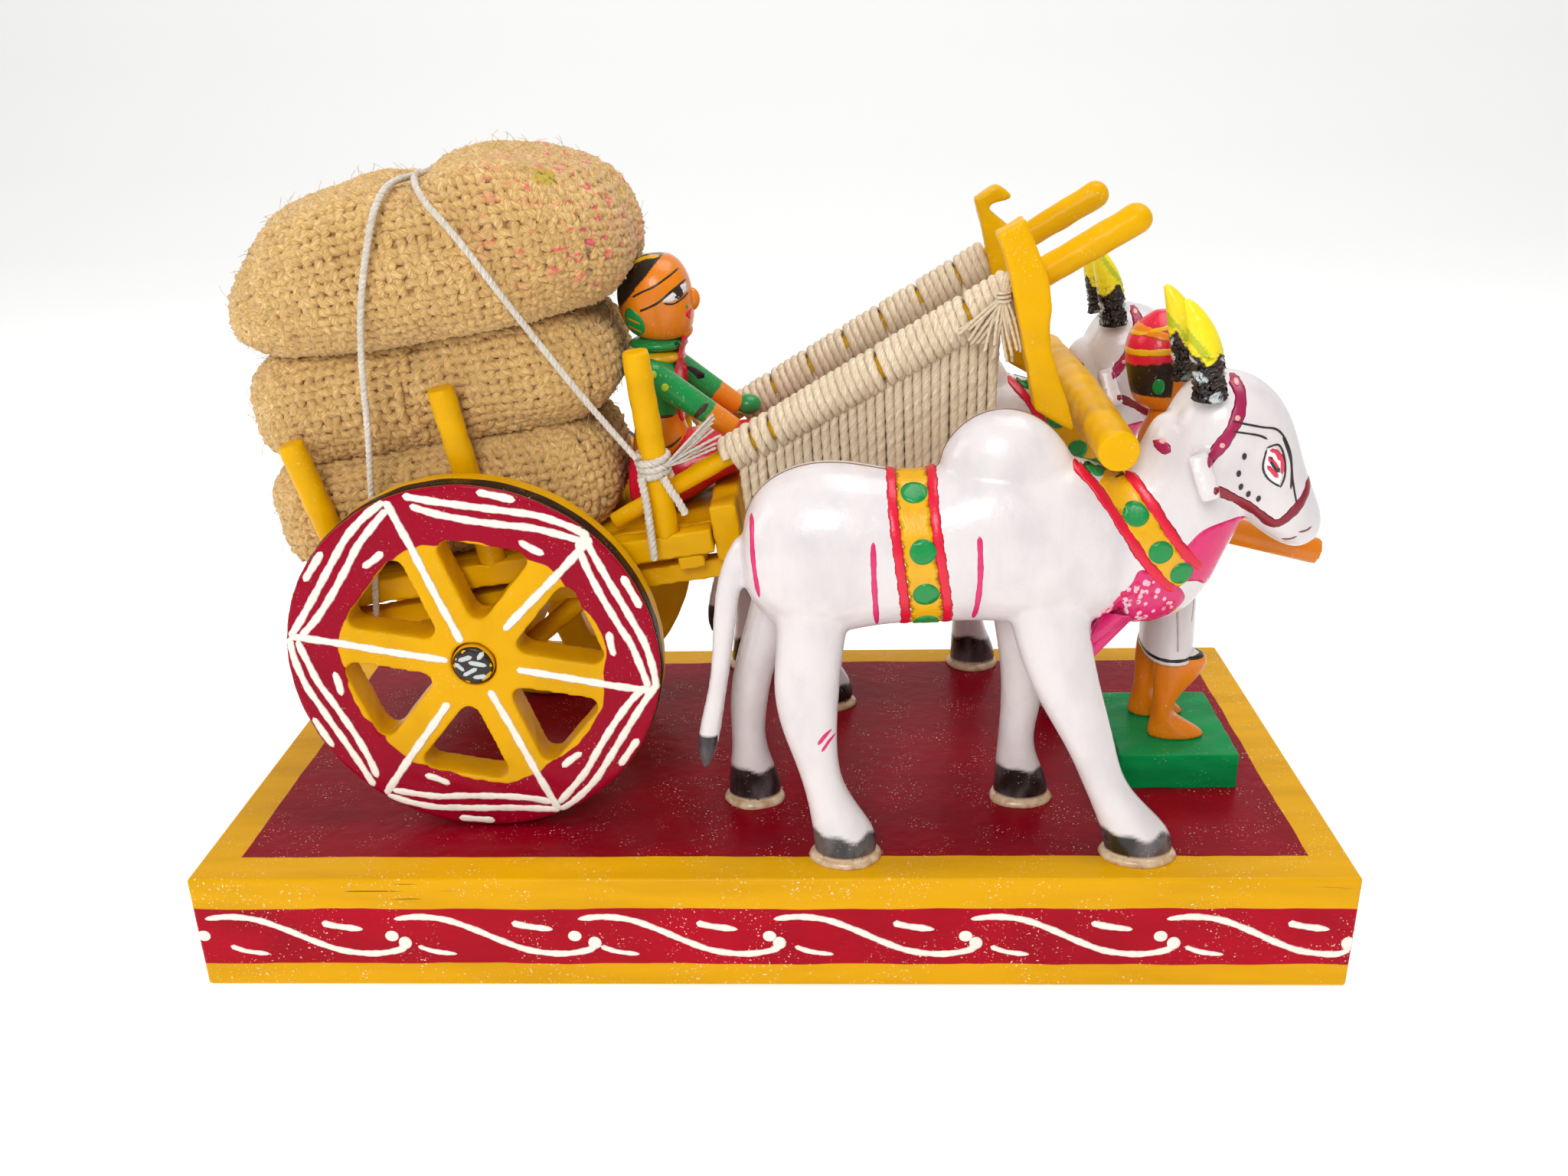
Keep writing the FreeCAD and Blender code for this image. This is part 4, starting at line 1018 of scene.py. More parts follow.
@dataclass
class Rigging:
    """Cotton cord wound on the shafts, with the web that hangs from it to the cart's beams."""

    strand: float = 2.12 * MM
    back: tuple[float, float] = (-34 * MM, 95.9 * MM)
    tip: tuple[float, float] = (79.5 * MM, 162 * MM)
    back_centre: float = 19 * MM
    tip_centre: float = 22.5 * MM
    beam_centre: float = 19.8 * MM
    first: float = 0.2335
    last: float = 0.762
    bed_tilt: float = tan(radians(8.5))
    web_strands: int = 28
    gaps: dict[int, tuple[int, ...]] = field(default_factory=lambda: {
        -1: (3, 5, 19, 30, 36), 1: tuple(range(5, 40, 5))})

    def build(self) -> None:
        """Winds both shafts."""
        for side_name, side in SIDES:
            cord = Cordage(f"shaft_cord_{side_name}_wound", Finish.CORD, self.strand, 8.5 * MM, 0.7 * MM,
                depth=0.08, sides=10)
            self.wind(cord, side)
            self.hang(cord, side)
            piece = cord.spun()
            finish_piece(piece, Slot.CORD, None, [f"shaft_cord_{side_name}"])

    def frame_at(self, side: int, part: float) -> tuple[Vector, Vector, Vector, Vector, float]:
        """Place, direction, across and up at a part of the shaft, and its radius there."""
        start = Vector((self.back[0], side * self.back_centre, self.back[1]))
        end = Vector((self.tip[0], side * self.tip_centre, self.tip[1]))
        way = (end - start).normalized()
        across = way.cross(Z_AXIS).normalized()
        return start + (end - start) * part, way, across, across.cross(way), (1.9 + 1.3 * part) * MM

    def wind(self, cord: Cordage, side: int) -> None:
        """Turns round the shaft, with a sliver of bare wood showing at some of them."""
        hand = Random(11 + side)
        points: list[Vector] = []
        start, way, _, _, _ = self.frame_at(side, 0)
        length = (self.frame_at(side, 1)[0] - start).length
        along = self.first * length
        turn = 0
        while along < self.last * length:
            advance = self.strand * (0.86 + hand.uniform(-0.03, 0.04))
            if turn in self.gaps[side]:
                advance *= 1.55
            for k, angle in enumerate(angles(12)):
                spot, way, across, up, radius = self.frame_at(side, (along + advance * k / 12) / length)
                out = (radius + self.strand * 0.5) * 1.035
                points.append(spot + across * (out * cos(angle)) + up * (out * sin(angle)))
            along += advance
            turn += 1
        cord.lay(points)

    def hang(self, cord: Cordage, side: int) -> None:
        """Strands side by side from the shaft's underside down round the cart's beam and back."""
        hand = Random(5 + side)
        for k in range(self.web_strands):
            share = k / (self.web_strands - 1)
            part = self.first + 0.022 + share * (0.738 - self.first - 0.035)
            spot, _, _, up, radius = self.frame_at(side, part)
            foot_x = (-1.5 + 50.5 * share) * MM
            foot_z = 89.6 * MM + foot_x * self.bed_tilt - 4.7 * MM
            y = side * self.beam_centre
            top = Vector((spot.x + 0.8 * MM, y, spot.z - (radius + self.strand) * 0.9))
            for layer, lean in ((-1, 0.0), (1, 0.45)):
                off = layer * self.strand * 0.52
                jitter = hand.uniform(-0.22, 0.22) * MM
                low = Vector((foot_x + lean * self.strand + jitter, y + off * 2.1, foot_z + 2.2 * MM))
                middle = (top + low) / 2 + Vector((jitter, off * 0.25, 0))
                cord.lay([top + Vector((lean * self.strand, off * 0.6, 4.4 * MM)),
                          top + Vector((lean * self.strand, off * 1.05, -1 * MM)), middle, low,
                          Vector((foot_x + lean * self.strand, y + off * 1.7, foot_z - 1.5 * MM)),
                          Vector((foot_x + lean * self.strand, y - off * 0.2, foot_z - 2.1 * MM))])


# --- Load ---

@dataclass
class Sack:
    """A stuffed sack of coarse hessian, woven from closed yarns that pass over and under each other."""

    name: str
    centre_x: float
    centre_z: float
    length: float
    width: float
    depth: float
    tilt: float
    shape: tuple[tuple[float, float, float], ...] = ((-1, 0, 1), (1, 0, 1))
    fill: float = 0.85
    thread: float = 2.35 * MM
    yarn: float = 2.3 * MM
    over: float = 0.42 * MM
    bulge: float = 4.0 * MM
    squareness: float = 4.4
    inset: float = -0.3 * MM
    room: float = -0.8 * MM
    bite: float = 1.9 * MM
    sim_scale: float = 14.0
    hair: float = 0.11 * MM
    hair_length: float = 5 * MM
    hair_density: float = 130_000.0

    def build(self, strings: Sequence[Sequence[Vector]]) -> None:
        """Shapes, fills, dents and weaves the sack.

        Args:
            strings: lines of the strings that press into it.
        """
        self.counts = tuple(max(4, round(size / self.thread)) for size in (self.length, self.width, self.depth))
        self.surface = tree_of([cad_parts[self.name]])
        skin = self.skin()
        self.stuff(skin)
        self.dent(skin, strings)
        piece = self.weave(skin)
        bpy.data.objects.remove(skin)
        finish_piece(piece, Slot.JUTE, None, [self.name])

    def place(self, i: int, j: int, k: int) -> Vector:
        """Where crossing i, j, k of the lattice lies on the unfilled sack."""
        cell = [min(max((2 * n + 1) / count - 1, -1.0), 1.0) for n, count in zip((i, j, k), self.counts)]
        power = self.squareness
        far = sum(abs(c) ** power for c in cell) ** (1 / power)
        half = Vector((self.length, self.width, self.depth)) / 2
        local = Vector([c / far * h for c, h in zip(cell, half)])
        turn = Matrix.Rotation(-radians(self.tilt), 3, "Y")
        middle = Vector((self.centre_x, 0, self.centre_z))
        share, lower, thick = zip(*self.shape)
        here = 2 * local.x / self.length
        local.z *= float(np.interp(here, share, thick))
        out = turn @ local + Z_AXIS * float(np.interp(here, share, lower)) * MM
        spot, _, _, distance = self.surface.ray_cast(middle + out * 1.8, -out.normalized())
        limit = (spot - middle).length if spot is not None else out.length
        return middle + out.normalized() * (min(out.length, limit) - self.inset)

    def skin(self) -> Piece:
        """The lattice of crossings as one closed mesh, and the loops of yarn through it."""
        nx, ny, nz = self.counts
        index: dict[tuple[int, int, int], int] = {}
        spots: list[Vector] = []

        def at(i: int, j: int, k: int) -> int:
            """Number of the point at a crossing."""
            if (i, j, k) not in index:
                index[(i, j, k)] = len(spots)
                spots.append(self.place(i, j, k))
            return index[(i, j, k)]

        def round_loop(first: int, second: int) -> list[tuple[int, int]]:
            """Steps of a loop round a face of first by second crossings."""
            return ([(a, second) for a in range(first)] + [(first, b) for b in range(second - 1, -1, -1)]
                    + [(a, -1) for a in range(first - 1, -1, -1)] + [(-1, b) for b in range(second)])

        along = [[at(a, j, b) for a, b in round_loop(nx, nz)] for j in range(ny)]
        girth = [[at(i, a, b) for a, b in round_loop(ny, nz)] for i in range(nx)]
        belt = [[at(b, a, k) for a, b in round_loop(ny, nx)] for k in range(nz)]
        faces: list[tuple[int, ...]] = []
        for one, two in zip(along, along[1:]):
            for s in range(len(one)):
                n = (s + 1) % len(one)
                faces.append((one[s], one[n], two[n], two[s]))
        for j, edge in ((-1, 0), (ny, ny - 1)):
            for i in range(nx - 1):
                for k in range(nz - 1):
                    faces.append((at(i, j, k), at(i + 1, j, k), at(i + 1, j, k + 1), at(i, j, k + 1)))
                faces.append((at(i, j, nz - 1), at(i + 1, j, nz - 1), at(i + 1, edge, nz), at(i, edge, nz)))
                faces.append((at(i, j, 0), at(i + 1, j, 0), at(i + 1, edge, -1), at(i, edge, -1)))
            for k in range(nz - 1):
                faces.append((at(nx - 1, j, k), at(nx - 1, j, k + 1), at(nx, edge, k + 1), at(nx, edge, k)))
                faces.append((at(0, j, k), at(0, j, k + 1), at(-1, edge, k + 1), at(-1, edge, k)))
            for i, i_out in ((0, -1), (nx - 1, nx)):
                for k, k_out in ((0, -1), (nz - 1, nz)):
                    faces.append((at(i, j, k), at(i_out, edge, k), at(i, edge, k_out)))
        self.loops = (along, girth, belt)
        skin = mesh_object(f"{self.name}_skin", spots, faces, smooth=False)
        turned_out(skin.data)
        return skin

    def stuff(self, skin: Piece) -> None:
        """Fills the sack: cloth under pressure, worked at a larger scale and capped."""
        co = points_of(skin.data)
        middle = co.mean(axis=0)
        move_points(skin.data, (co - middle) * self.sim_scale)
        cloth = skin.modifiers.new("stuffing", "CLOTH")
        for name, value in (("quality", 6), ("mass", 0.12), ("tension_stiffness", 12),
                ("compression_stiffness", 8), ("shear_stiffness", 4), ("bending_stiffness", 0.6),
                ("use_pressure", True), ("uniform_pressure_force", 4.0), ("shrink_min", -0.03)):
            setattr(cloth.settings, name, value)
        cloth.settings.effector_weights.gravity = 0
        scene = bpy.context.scene
        for number in range(1, 21):
            scene.frame_set(number)
        graph = bpy.context.evaluated_depsgraph_get()
        blown = points_of(skin.evaluated_get(graph).to_mesh())
        skin.evaluated_get(graph).to_mesh_clear()
        skin.modifiers.clear()
        scene.frame_set(1)
        move = blown / self.sim_scale + middle - co
        far = np.linalg.norm(move, axis=1, keepdims=True)
        LOG.info("%s: cloth moved up to %.1f mm", self.name, far.max() / MM)
        move_points(skin.data, co + move * np.minimum(1, self.bulge / np.maximum(far, 1e-9)))

    def dent(self, skin: Piece, strings: Sequence[Sequence[Vector]]) -> None:
        """Presses the strings in, adds the lumps of the filling and keeps to the space of the CAD solid."""
        co = points_of(skin.data)
        middle = co.mean(axis=0)
        inward = (middle - co) / np.linalg.norm(middle - co, axis=1, keepdims=True)
        x, y, z = co.T
        lumps = (np.sin(x / (5.1 * MM) + self.centre_z * 900) * np.sin(y / (4.3 * MM) + 1)
                 + np.sin(z / (4.7 * MM) + x / (9 * MM)))
        co = co + inward * (0.45 * MM * lumps)[:, None]
        for line in strings:
            path = np.array(line)
            gaps = np.linalg.norm(co[:, None, :] - path[None, :, :], axis=2)
            nearest = gaps.argmin(axis=1)
            away = gaps.min(axis=1)
            sunk = np.einsum("ij,ij->i", co - path[nearest], -inward) + self.bite
            press = np.clip(sunk, 0, 5 * MM) * np.exp(-(away / (5.5 * MM)) ** 2)
            co = co + inward * (press + 0.8 * MM * np.exp(-(away / (7 * MM)) ** 2))[:, None]
        for n, point in enumerate(co):
            out = Vector(point - middle)
            spot, _, _, _ = self.surface.ray_cast(Vector(middle) + out * 1.8, -out.normalized())
            if spot is not None:
                limit = (spot - Vector(middle)).length - self.room
                if out.length > limit:
                    co[n] = middle + np.array(out) * (limit / out.length)
        move_points(skin.data, co)

    def weave(self, skin: Piece) -> Piece:
        """Yarns over and under along the loops, on a darker cloth behind them that paints the shade in the gaps
        between yarns.
        """
        hand = Random(len(self.name) * 31)
        points = [v.co.copy() for v in skin.data.vertices]
        normals = [v.normal.copy() for v in skin.data.vertices]
        yarns = Cordage(f"{self.name}_yarns", Finish.JUTE, self.yarn, 4.6 * MM, 1.2 * MM, plies=2,
                        depth=0.16, sides=6)
        starts = (0, 1, (self.counts[0] + self.counts[2]) % 2)
        for family, (loops, first) in enumerate(zip(self.loops, starts)):
            for number, loop in enumerate(loops):
                wander = hand.uniform(-0.16, 0.16)
                line = []
                for step, vertex in enumerate(loop):
                    over = self.over * (1 if (step + number + first) % 2 == 0 else -1)
                    ahead = points[loop[(step + 1) % len(loop)]]
                    side = (ahead - points[vertex]).cross(normals[vertex]).normalized()
                    drift = side * (wander + 0.2 * hand.uniform(-1, 1)) * self.thread
                    over *= hand.uniform(0.7, 1.25)
                    line.append(points[vertex] + normals[vertex] * over * 2 + drift)
                yarns.lay(line, True)
        woven = yarns.spun()
        lining = skin.modifiers.new("fine", "SUBSURF")
        lining.levels = lining.render_levels = 1
        graph = bpy.context.evaluated_depsgraph_get()
        cloth = bpy.data.meshes.new_from_object(skin.evaluated_get(graph), depsgraph=graph)
        back = linked(f"{self.name}_lining", cloth)
        for vertex in back.data.vertices:
            vertex.co -= vertex.normal * 0.15 * MM
        # The lining's darker jute tone is painted shade showing through the gaps.
        back.data.materials.append(material_of(Finish.LINING))
        return joined(f"{self.name}_woven", [woven, back, self.hairs(back)])

    def hairs(self, cloth: Piece) -> Piece:
        """Stray fibres that stand off the weave."""
        return run_group(linked(f"{self.name}_hairs", cloth.data.copy()), hair_tree(), {
            "Density": self.hair_density, "Length": self.hair_length, "Thickness": self.hair, "Seed": 7})


def hair_tree() -> NodeTree:
    """Geometry Nodes that grow bent hairs on a cloth; inputs Density, Length, Thickness and Seed."""
    if "stray fibres" in bpy.data.node_groups:
        return bpy.data.node_groups["stray fibres"]
    tree = new_group("stray fibres",
        {"Density": "Float", "Length": "Float", "Thickness": "Float", "Seed": "Int"})
    given = add_node(tree, "NodeGroupInput").outputs
    roots = add_node(tree, "GeometryNodeDistributePointsOnFaces", {"distribute_method": "RANDOM"}, {
        "Mesh": given["Geometry"], "Density": given["Density"], "Seed": given["Seed"]})
    arc = geometry_node(tree, "CurveQuadraticBezier", {
        "Resolution": 3, "Start": (0, 0, 0), "Middle": (0.3, 0.15, 0.45), "End": (0.95, 0.1, 0.3)})
    lean = add_node(tree, "FunctionNodeRandomValue", {"data_type": "FLOAT_VECTOR"}, {
        "Min": (-0.7, -0.7, -3.14), "Max": (0.7, 0.7, 3.14), "Seed": given["Seed"]}).outputs["Value"]
    facing = add_node(tree, "FunctionNodeRotateEuler", {"rotation_type": "EULER", "space": "LOCAL"}, {
        "Rotation": roots.outputs["Rotation"], "Rotate By": lean}).outputs[0]
    size = add_node(tree, "FunctionNodeRandomValue", {"data_type": "FLOAT"}, {
        "Min": 0.35, "Max": 1.0, "Seed": given["Seed"]}).outputs["Value"]
    long = calc(tree, "MULTIPLY", size, given["Length"])
    hairs = geometry_node(tree, "InstanceOnPoints", {
        "Points": roots.outputs["Points"], "Instance": arc, "Rotation": facing, "Scale": long})
    hairs = geometry_node(tree, "RealizeInstances", {"Geometry": hairs})
    round_hair = geometry_node(tree, "CurvePrimitiveCircle", {
        "Resolution": 3, "Radius": calc(tree, "MULTIPLY", given["Thickness"], 0.5)})
    hairs = geometry_node(tree, "CurveToMesh", {"Curve": hairs, "Profile Curve": round_hair, "Fill Caps": True})
    hairs = geometry_node(tree, "SetMaterial", {"Geometry": hairs, "Material": material_of(Finish.JUTE)})
    add_node(tree, "NodeGroupOutput", inputs={0: hairs})
    return tree


def joined(name: str, parts: Sequence[Piece]) -> Piece:
    """Several meshes made into one piece that keeps their materials."""
    bpy.ops.object.select_all(action="DESELECT")
    for part in parts:
        part.select_set(True)
    bpy.context.view_layer.objects.active = parts[0]
    bpy.ops.object.join()
    whole = bpy.context.view_layer.objects.active
    whole.name = name
    whole.data.name = name
    return whole


@dataclass
class Load:
    """The sacks on the cart and the strings that hold them."""

    string: float = 1.4 * MM
    sacks: tuple[Sack, ...] = (
        Sack("sack_lower", -73.6 * MM, 100.8 * MM, 77 * MM, 41 * MM, 26 * MM, 8.5),
        Sack("sack_middle", -73.6 * MM, 126.2 * MM, 80 * MM, 44 * MM, 23 * MM, 8.5),
        Sack("sack_upper", -71.5 * MM, 156.0 * MM, 87 * MM, 62 * MM, 33.5 * MM, 9.8, (
            (-1, -9, 0.45), (-0.86, -6.6, 0.6), (-0.62, -2.6, 0.82), (-0.39, -1.8, 0.9), (-0.1, -1.2, 0.98),
            (0.33, -1.4, 0.98), (0.62, -2.2, 0.94), (0.89, -4.6, 0.84), (1, -7, 0.72)), bulge=1.2 * MM,
             bite=2.8 * MM, squareness=3.3))
    lashing: tuple[tuple[float, float, float], ...] = (
        (-88, -27.4, 48), (-86.6, -27.4, 62), (-85, -27.6, 78), (-83.4, -28.4, 93), (-82, -31, 107),
        (-79.8, -32.8, 120), (-76.6, -32.9, 132), (-74.8, -30.4, 139.2), (-74, -22, 142.4), (-73.8, -8, 142.2))
    stay: tuple[tuple[float, float, float], ...] = (
        (-72.8, 6, 142.8), (-70, 20, 143.4), (-65.6, 30.2, 139.8), (-59, 32.6, 133), (-51, 32.8, 121),
        (-43, 31, 108.5), (-35, 29.4, 96.5), (-26.6, 28.4, 85.5))

    def build(self) -> None:
        """Builds the sacks, then the strings over them."""
        half = [over_deck(x, y, z) for x, y, z in self.lashing]
        over = half + [Vector((p.x, -p.y, p.z)) for p in reversed(half)]
        stays = {name: [over_deck(x, side * y, z) for x, y, z in self.stay] for name, side in SIDES}
        lines = [smooth_line(over, 2 * MM)] + [smooth_line(line, 2 * MM) for line in stays.values()]
        for sack in self.sacks:
            sack.build(lines)
        self.tie("load_string", over)
        for name, side in SIDES:
            self.tie(f"stay_string_{name}", stays[name])
            self.knot(name, side)

    def tie(self, node: str, line: Sequence[Vector]) -> None:
        """One string, laid along its line in place of its CAD node."""
        laid = Cordage(f"{node}_laid", Finish.STRING, self.string, 3.6 * MM, 0.6 * MM, sides=10)
        laid.lay(line)
        finish_piece(laid.spun(), Slot.STRING, None, [node])

    def knot(self, name: str, side: int) -> None:
        """The turns round the front stake, two tails and a fan of frayed ends."""
        hand = Random(17 + side)
        foot = Vector((-23.4 * MM, side * 24.8 * MM, 110.9 * MM))
        up = Vector((-0.10, side * 0.08, 1)).normalized()
        right = up.cross(Y_AXIS * -side).normalized() * side
        out = up.cross(right)
        turns = Cordage(f"stake_knot_{name}_tied", Finish.STRING, 1.75 * MM, 3.6 * MM, 0.6 * MM, sides=10)
        spiral = []
        for k in range(44):
            angle = 2 * pi * k / 12
            swell = 3.2 * MM + 0.15 * MM * sin(k * 0.9)
            spiral.append(foot + up * ((k / 12 - 1.8) * 1.5 * MM)
                          + right * (swell * cos(angle)) + out * (swell * sin(angle)))
        turns.lay(spiral)
        front = foot + Vector((0.8 * MM, side * 4.2 * MM, 0))
        for from_x, lean, long in ((-3.2, 0.1, 18.5), (1.6, 0.55, 8.0)):
            start = front + Vector((from_x, -side * 0.4, -1.8)) * MM
            turns.lay([start, start + Vector((0.5 + lean * 2, side * 0.5, -3)) * MM,
                       start + Vector((0.4 + lean * long * 0.55, side * 0.9, -long * 0.55)) * MM,
                       start + Vector((lean * long, side * 0.5, -long)) * MM])
        finish_piece(turns.spun(), Slot.STRING, None, [f"stake_knot_{name}"])
        if side > 0:
            return
        fan = Cordage(f"stake_knot_{name}_frayed_ends", Finish.STRING, 0.62 * MM, 3 * MM, 0.7 * MM, plies=2,
                      sides=6)
        start = foot + Vector((2.6 * MM, side * 2.6 * MM, 0.3 * MM))
        for k in range(9):
            rise = 3.4 + k * 0.95
            reach = 11.5 + 1.6 * hand.uniform(-1, 1)
            end = start + Vector((reach, -side * (2.4 + hand.uniform(-1, 1)), rise)) * MM
            sag = Vector((0, side * hand.uniform(-0.4, 0.9), hand.uniform(-1.2, 0.5))) * MM
            fan.lay([start, start.lerp(end, 0.35) + sag, start.lerp(end, 0.7) + sag * 0.5, end])
        finish_piece(fan.spun(), Slot.STRING)
        tassel = Cordage(f"shaft_tassel_{name}", Finish.CORD, 0.75 * MM, 3 * MM, 0.7 * MM, plies=2, sides=6)
        root, neck = over_deck(51.8, side * 23.5, 122.4), over_deck(50.2, side * 27.6, 118.2)
        for k in range(16):
            end = neck + Vector((-9.5 + 14 * k / 15 + hand.uniform(-1, 1), side * hand.uniform(-1.5, 1.5),
                                 -6.5 - 6 * (k / 15) ** 0.6 + hand.uniform(-2, 2))) * MM
            sway = Vector((hand.uniform(-0.8, 0.8), side * hand.uniform(0, 1), 0)) * MM
            tassel.lay([root + sway, root.lerp(neck, 0.6) + sway, neck + sway * 0.5,
                        neck.lerp(end, 0.45) + sway * 1.4, end])
        bind = [neck + Vector((1.5 * cos(k), side * 1.5 * sin(k), 1.2 - 0.14 * k)) * MM for k in range(16)]
        tassel.lay(bind)
        finish_piece(tassel.spun(), Slot.CORD)


# --- Oxen ---

@dataclass
class Ox:
    """One white zebu, carved in a single piece and painted with a harness."""

    side_name: str
    centre_y: float
    shift: float = 0.0
    voxel: float = 0.7 * MM

    HIDE = ("body", "head", "leg_hind_outer", "leg_hind_inner", "leg_fore_outer", "leg_fore_inner",
            "tail", "ears")

    def at(self, x: float, side: int, z: float, out: float = 14) -> Vector:
        """A place beside the ox, in mm: along, which side, above the deck, and out from its middle."""
        return Vector((x * MM + self.shift, self.centre_y + side * out * MM, DECK + z * MM))

    def beside(self, points: Marks, side: int, out: float) -> list[Vector]:
        """Places beside the ox, from how far along and how high each one is."""
        return [self.at(x, side, z, out) for x, z in points]

    def build(self) -> None:
        """Carves the ox, paints it and sets its horns."""
        nodes = [f"ox_{self.side_name}_{part}" for part in self.HIDE]
        hide = whittled(f"ox_{self.side_name}_carved", nodes, self.voxel, 5)
        self.tint(hide)
        finish_piece(hide, Slot.OX, Finish.OX, nodes)
        brush = Brush(f"ox_{self.side_name}_brushwork", CART, [hide], reach=16 * MM)
        self.girth(brush)
        for side in (-1, 1):
            self.flank(brush, side)
            self.collar(brush, side)
            self.face(brush, side)
        self.ridge(brush)
        brush.done()
        self.horns()
        self.glue(hide)

    def tint(self, hide: Piece) -> None:
        """White coat with black hooves and tail tip, stored point by point."""
        co = points_of(hide.data)
        x, z = (co[:, 0] - self.shift) / MM, (co[:, 2] - DECK) / MM
        tones = np.tile(np.array(linear(Paint.WHITE)), (len(co), 1))
        slope = 7.4 + 0.5 * np.sin(x * 0.9) + 0.4 * np.sin(co[:, 1] / MM * 1.3)
        toe = np.where(x > 40, (x - 70) * 0.12, (x - 8) * 0.12)
        hoof = np.clip((slope + 0.8 - np.clip(toe, -2.2, 2.2) - z) / 0.8 + 0.5, 0, 1)[:, None]
        tail = (z < 26) & (x < 1) & (z > 14 + (x + 8) * 0.2)
        tones = tones * (1 - hoof) + np.array(linear(Paint.BLACK)) * hoof
        tones[tail & (x < -10.6)] = linear(Paint.BLACK)
        tones[z <= 1.9] = linear("#D9C0A0")
        tint_points(hide, tones)

    def girth(self, brush: Brush) -> None:
        """The yellow band round the barrel, with red edges and green spots."""
        middle_z = DECK + 68 * MM

        def ring(low: float, high: float) -> list[Vector]:
            """A loop round the barrel whose x goes from low at the belly to high at the back."""
            points = []
            for turn in angles(20):
                z = middle_z + 24 * MM * sin(turn)
                share = min(max((z - DECK - 50 * MM) / (36 * MM), 0), 1)
                points.append(Vector(((low + (high - low) * share) * MM + self.shift,
                                      self.centre_y + 22 * MM * cos(turn), z)))
            return points

        def inward(point: Vector) -> Vector:
            """The way from a point round the barrel to its axis."""
            return Vector((0, self.centre_y - point.y, middle_z - point.z)).normalized()

        brush.stroke(ring(34.6, 31.4), Paint.YELLOW, 6.9 * MM, inward, closed=True)
        brush.thickness *= 1.5
        for low, high in ((30.2, 27.2), (38.9, 35.4)):
            brush.stroke(ring(low, high), Paint.RED, 2.1 * MM, inward, closed=True)
        for side in (-1, 1):
            for x, z in ((31.6, 82.2), (33.2, 71.6), (34, 62.2), (34.6, 53.6)):
                slope = 1 if z > 75 else 0
                spot = self.at(x, side, z + 8 * slope, 18 - 3 * slope)
                brush.dot(spot, 2.7 * MM, Paint.GREEN, Vector((0, -side, -slope)).normalized(), 0.95)
        brush.thickness /= 1.5

    def flank(self, brush: Brush, side: int) -> None:
        """Thin magenta strokes on the side and the rump."""
        toward = Vector((0, -side, 0))
        for points, width in (
                (((23.2, 73.8), (23.4, 66), (23.9, 58), (24.3, 53.2)), 1.15),
                (((44.4, 74.8), (44.8, 67), (44.7, 60), (44.3, 54.6)), 1.15),
                (((-1.4, 77.5), (-1.2, 70), (-0.6, 64), (-0.2, 60.5)), 1.0),
                (((11.6, 28.6), (13.2, 30.4), (14.6, 31.4)), 0.9),
                (((12.4, 26.9), (14, 28.9), (15.4, 29.9)), 0.8)):
            brush.stroke(self.beside(points, side, 17), Paint.MAGENTA, width * MM, toward, ends=(1.5, 2.5))

    def collar(self, brush: Brush, side: int) -> None:
        """The band down the neck, the speckled chest cloth and the pink dewlap."""
        toward = Vector((-0.22, -side, 0.05)).normalized()
        cloth = ((79.2, 65.9), (77.3, 62.6), (75, 58.4), (72.7, 54), (70.8, 51.3), (73, 49), (76.7, 47),
                 (79.8, 46.4), (82.4, 47.6), (85.7, 51), (88.9, 54.8), (89.9, 58.3), (86.5, 62.2))
        brush.patch(self.beside(cloth, side, 16), "#D2246A", toward, lift=0.7)
        hand = Random(23 + side)
        for _ in range(120):
            x, z = hand.uniform(72, 88), hand.uniform(48, 64)
            if abs(x - 80) / 9.5 + abs(z - 56) / 9.5 < 1:
                brush.dot(self.at(x, side, z, 16), hand.uniform(0.3, 0.6) * MM,
                          "#F6B9C8" if hand.random() < 0.6 else "#D01050", toward, 1.3)
        dewlap = ((85.6, 67.6), (88.3, 71.2), (91.1, 73.8), (95.5, 75), (100.1, 75.1), (102.4, 74),
            (99.7, 71.2), (98.4, 68.8), (97.1, 65.6), (95.4, 60.5), (91.5, 62), (88, 63))
        brush.patch(self.beside(dewlap, side, 15), Paint.MAGENTA, toward, lift=0.7)
        band = ((69.6, 88.6), (73, 84.4), (78, 76.6), (82.2, 70.2), (86.2, 65.6), (89.6, 62.6))
        brush.stroke(self.beside(band, side, 16), Paint.YELLOW, 6.6 * MM, toward, ends=(0.1, 0.3))
        brush.thickness *= 1.6
        for shift in (-3.6, 3.7):
            edge = [self.at(x + shift * 0.80, side, z + shift * 0.60, 16) for x, z in band]
            brush.stroke(edge, Paint.RED, 2.3 * MM, toward, ends=(0.5, 1.0))
        for x, z in ((71.6, 86.2), (77.6, 77.2), (82.6, 69.6), (87.6, 64.6)):
            brush.dot(self.at(x, side, z, 16), 2.5 * MM, Paint.GREEN, toward, 0.95)
        brush.thickness /= 1.6

    def face(self, brush: Brush, side: int) -> None:
        """Halter, eye and brow on one side of the head."""
        toward = Vector((0, -side, 0))
        strap = "#A0184C"

        def on(points: Marks, out: float = 12) -> list[Vector]:
            """Places beside the head."""
            return self.beside(points, side, out)

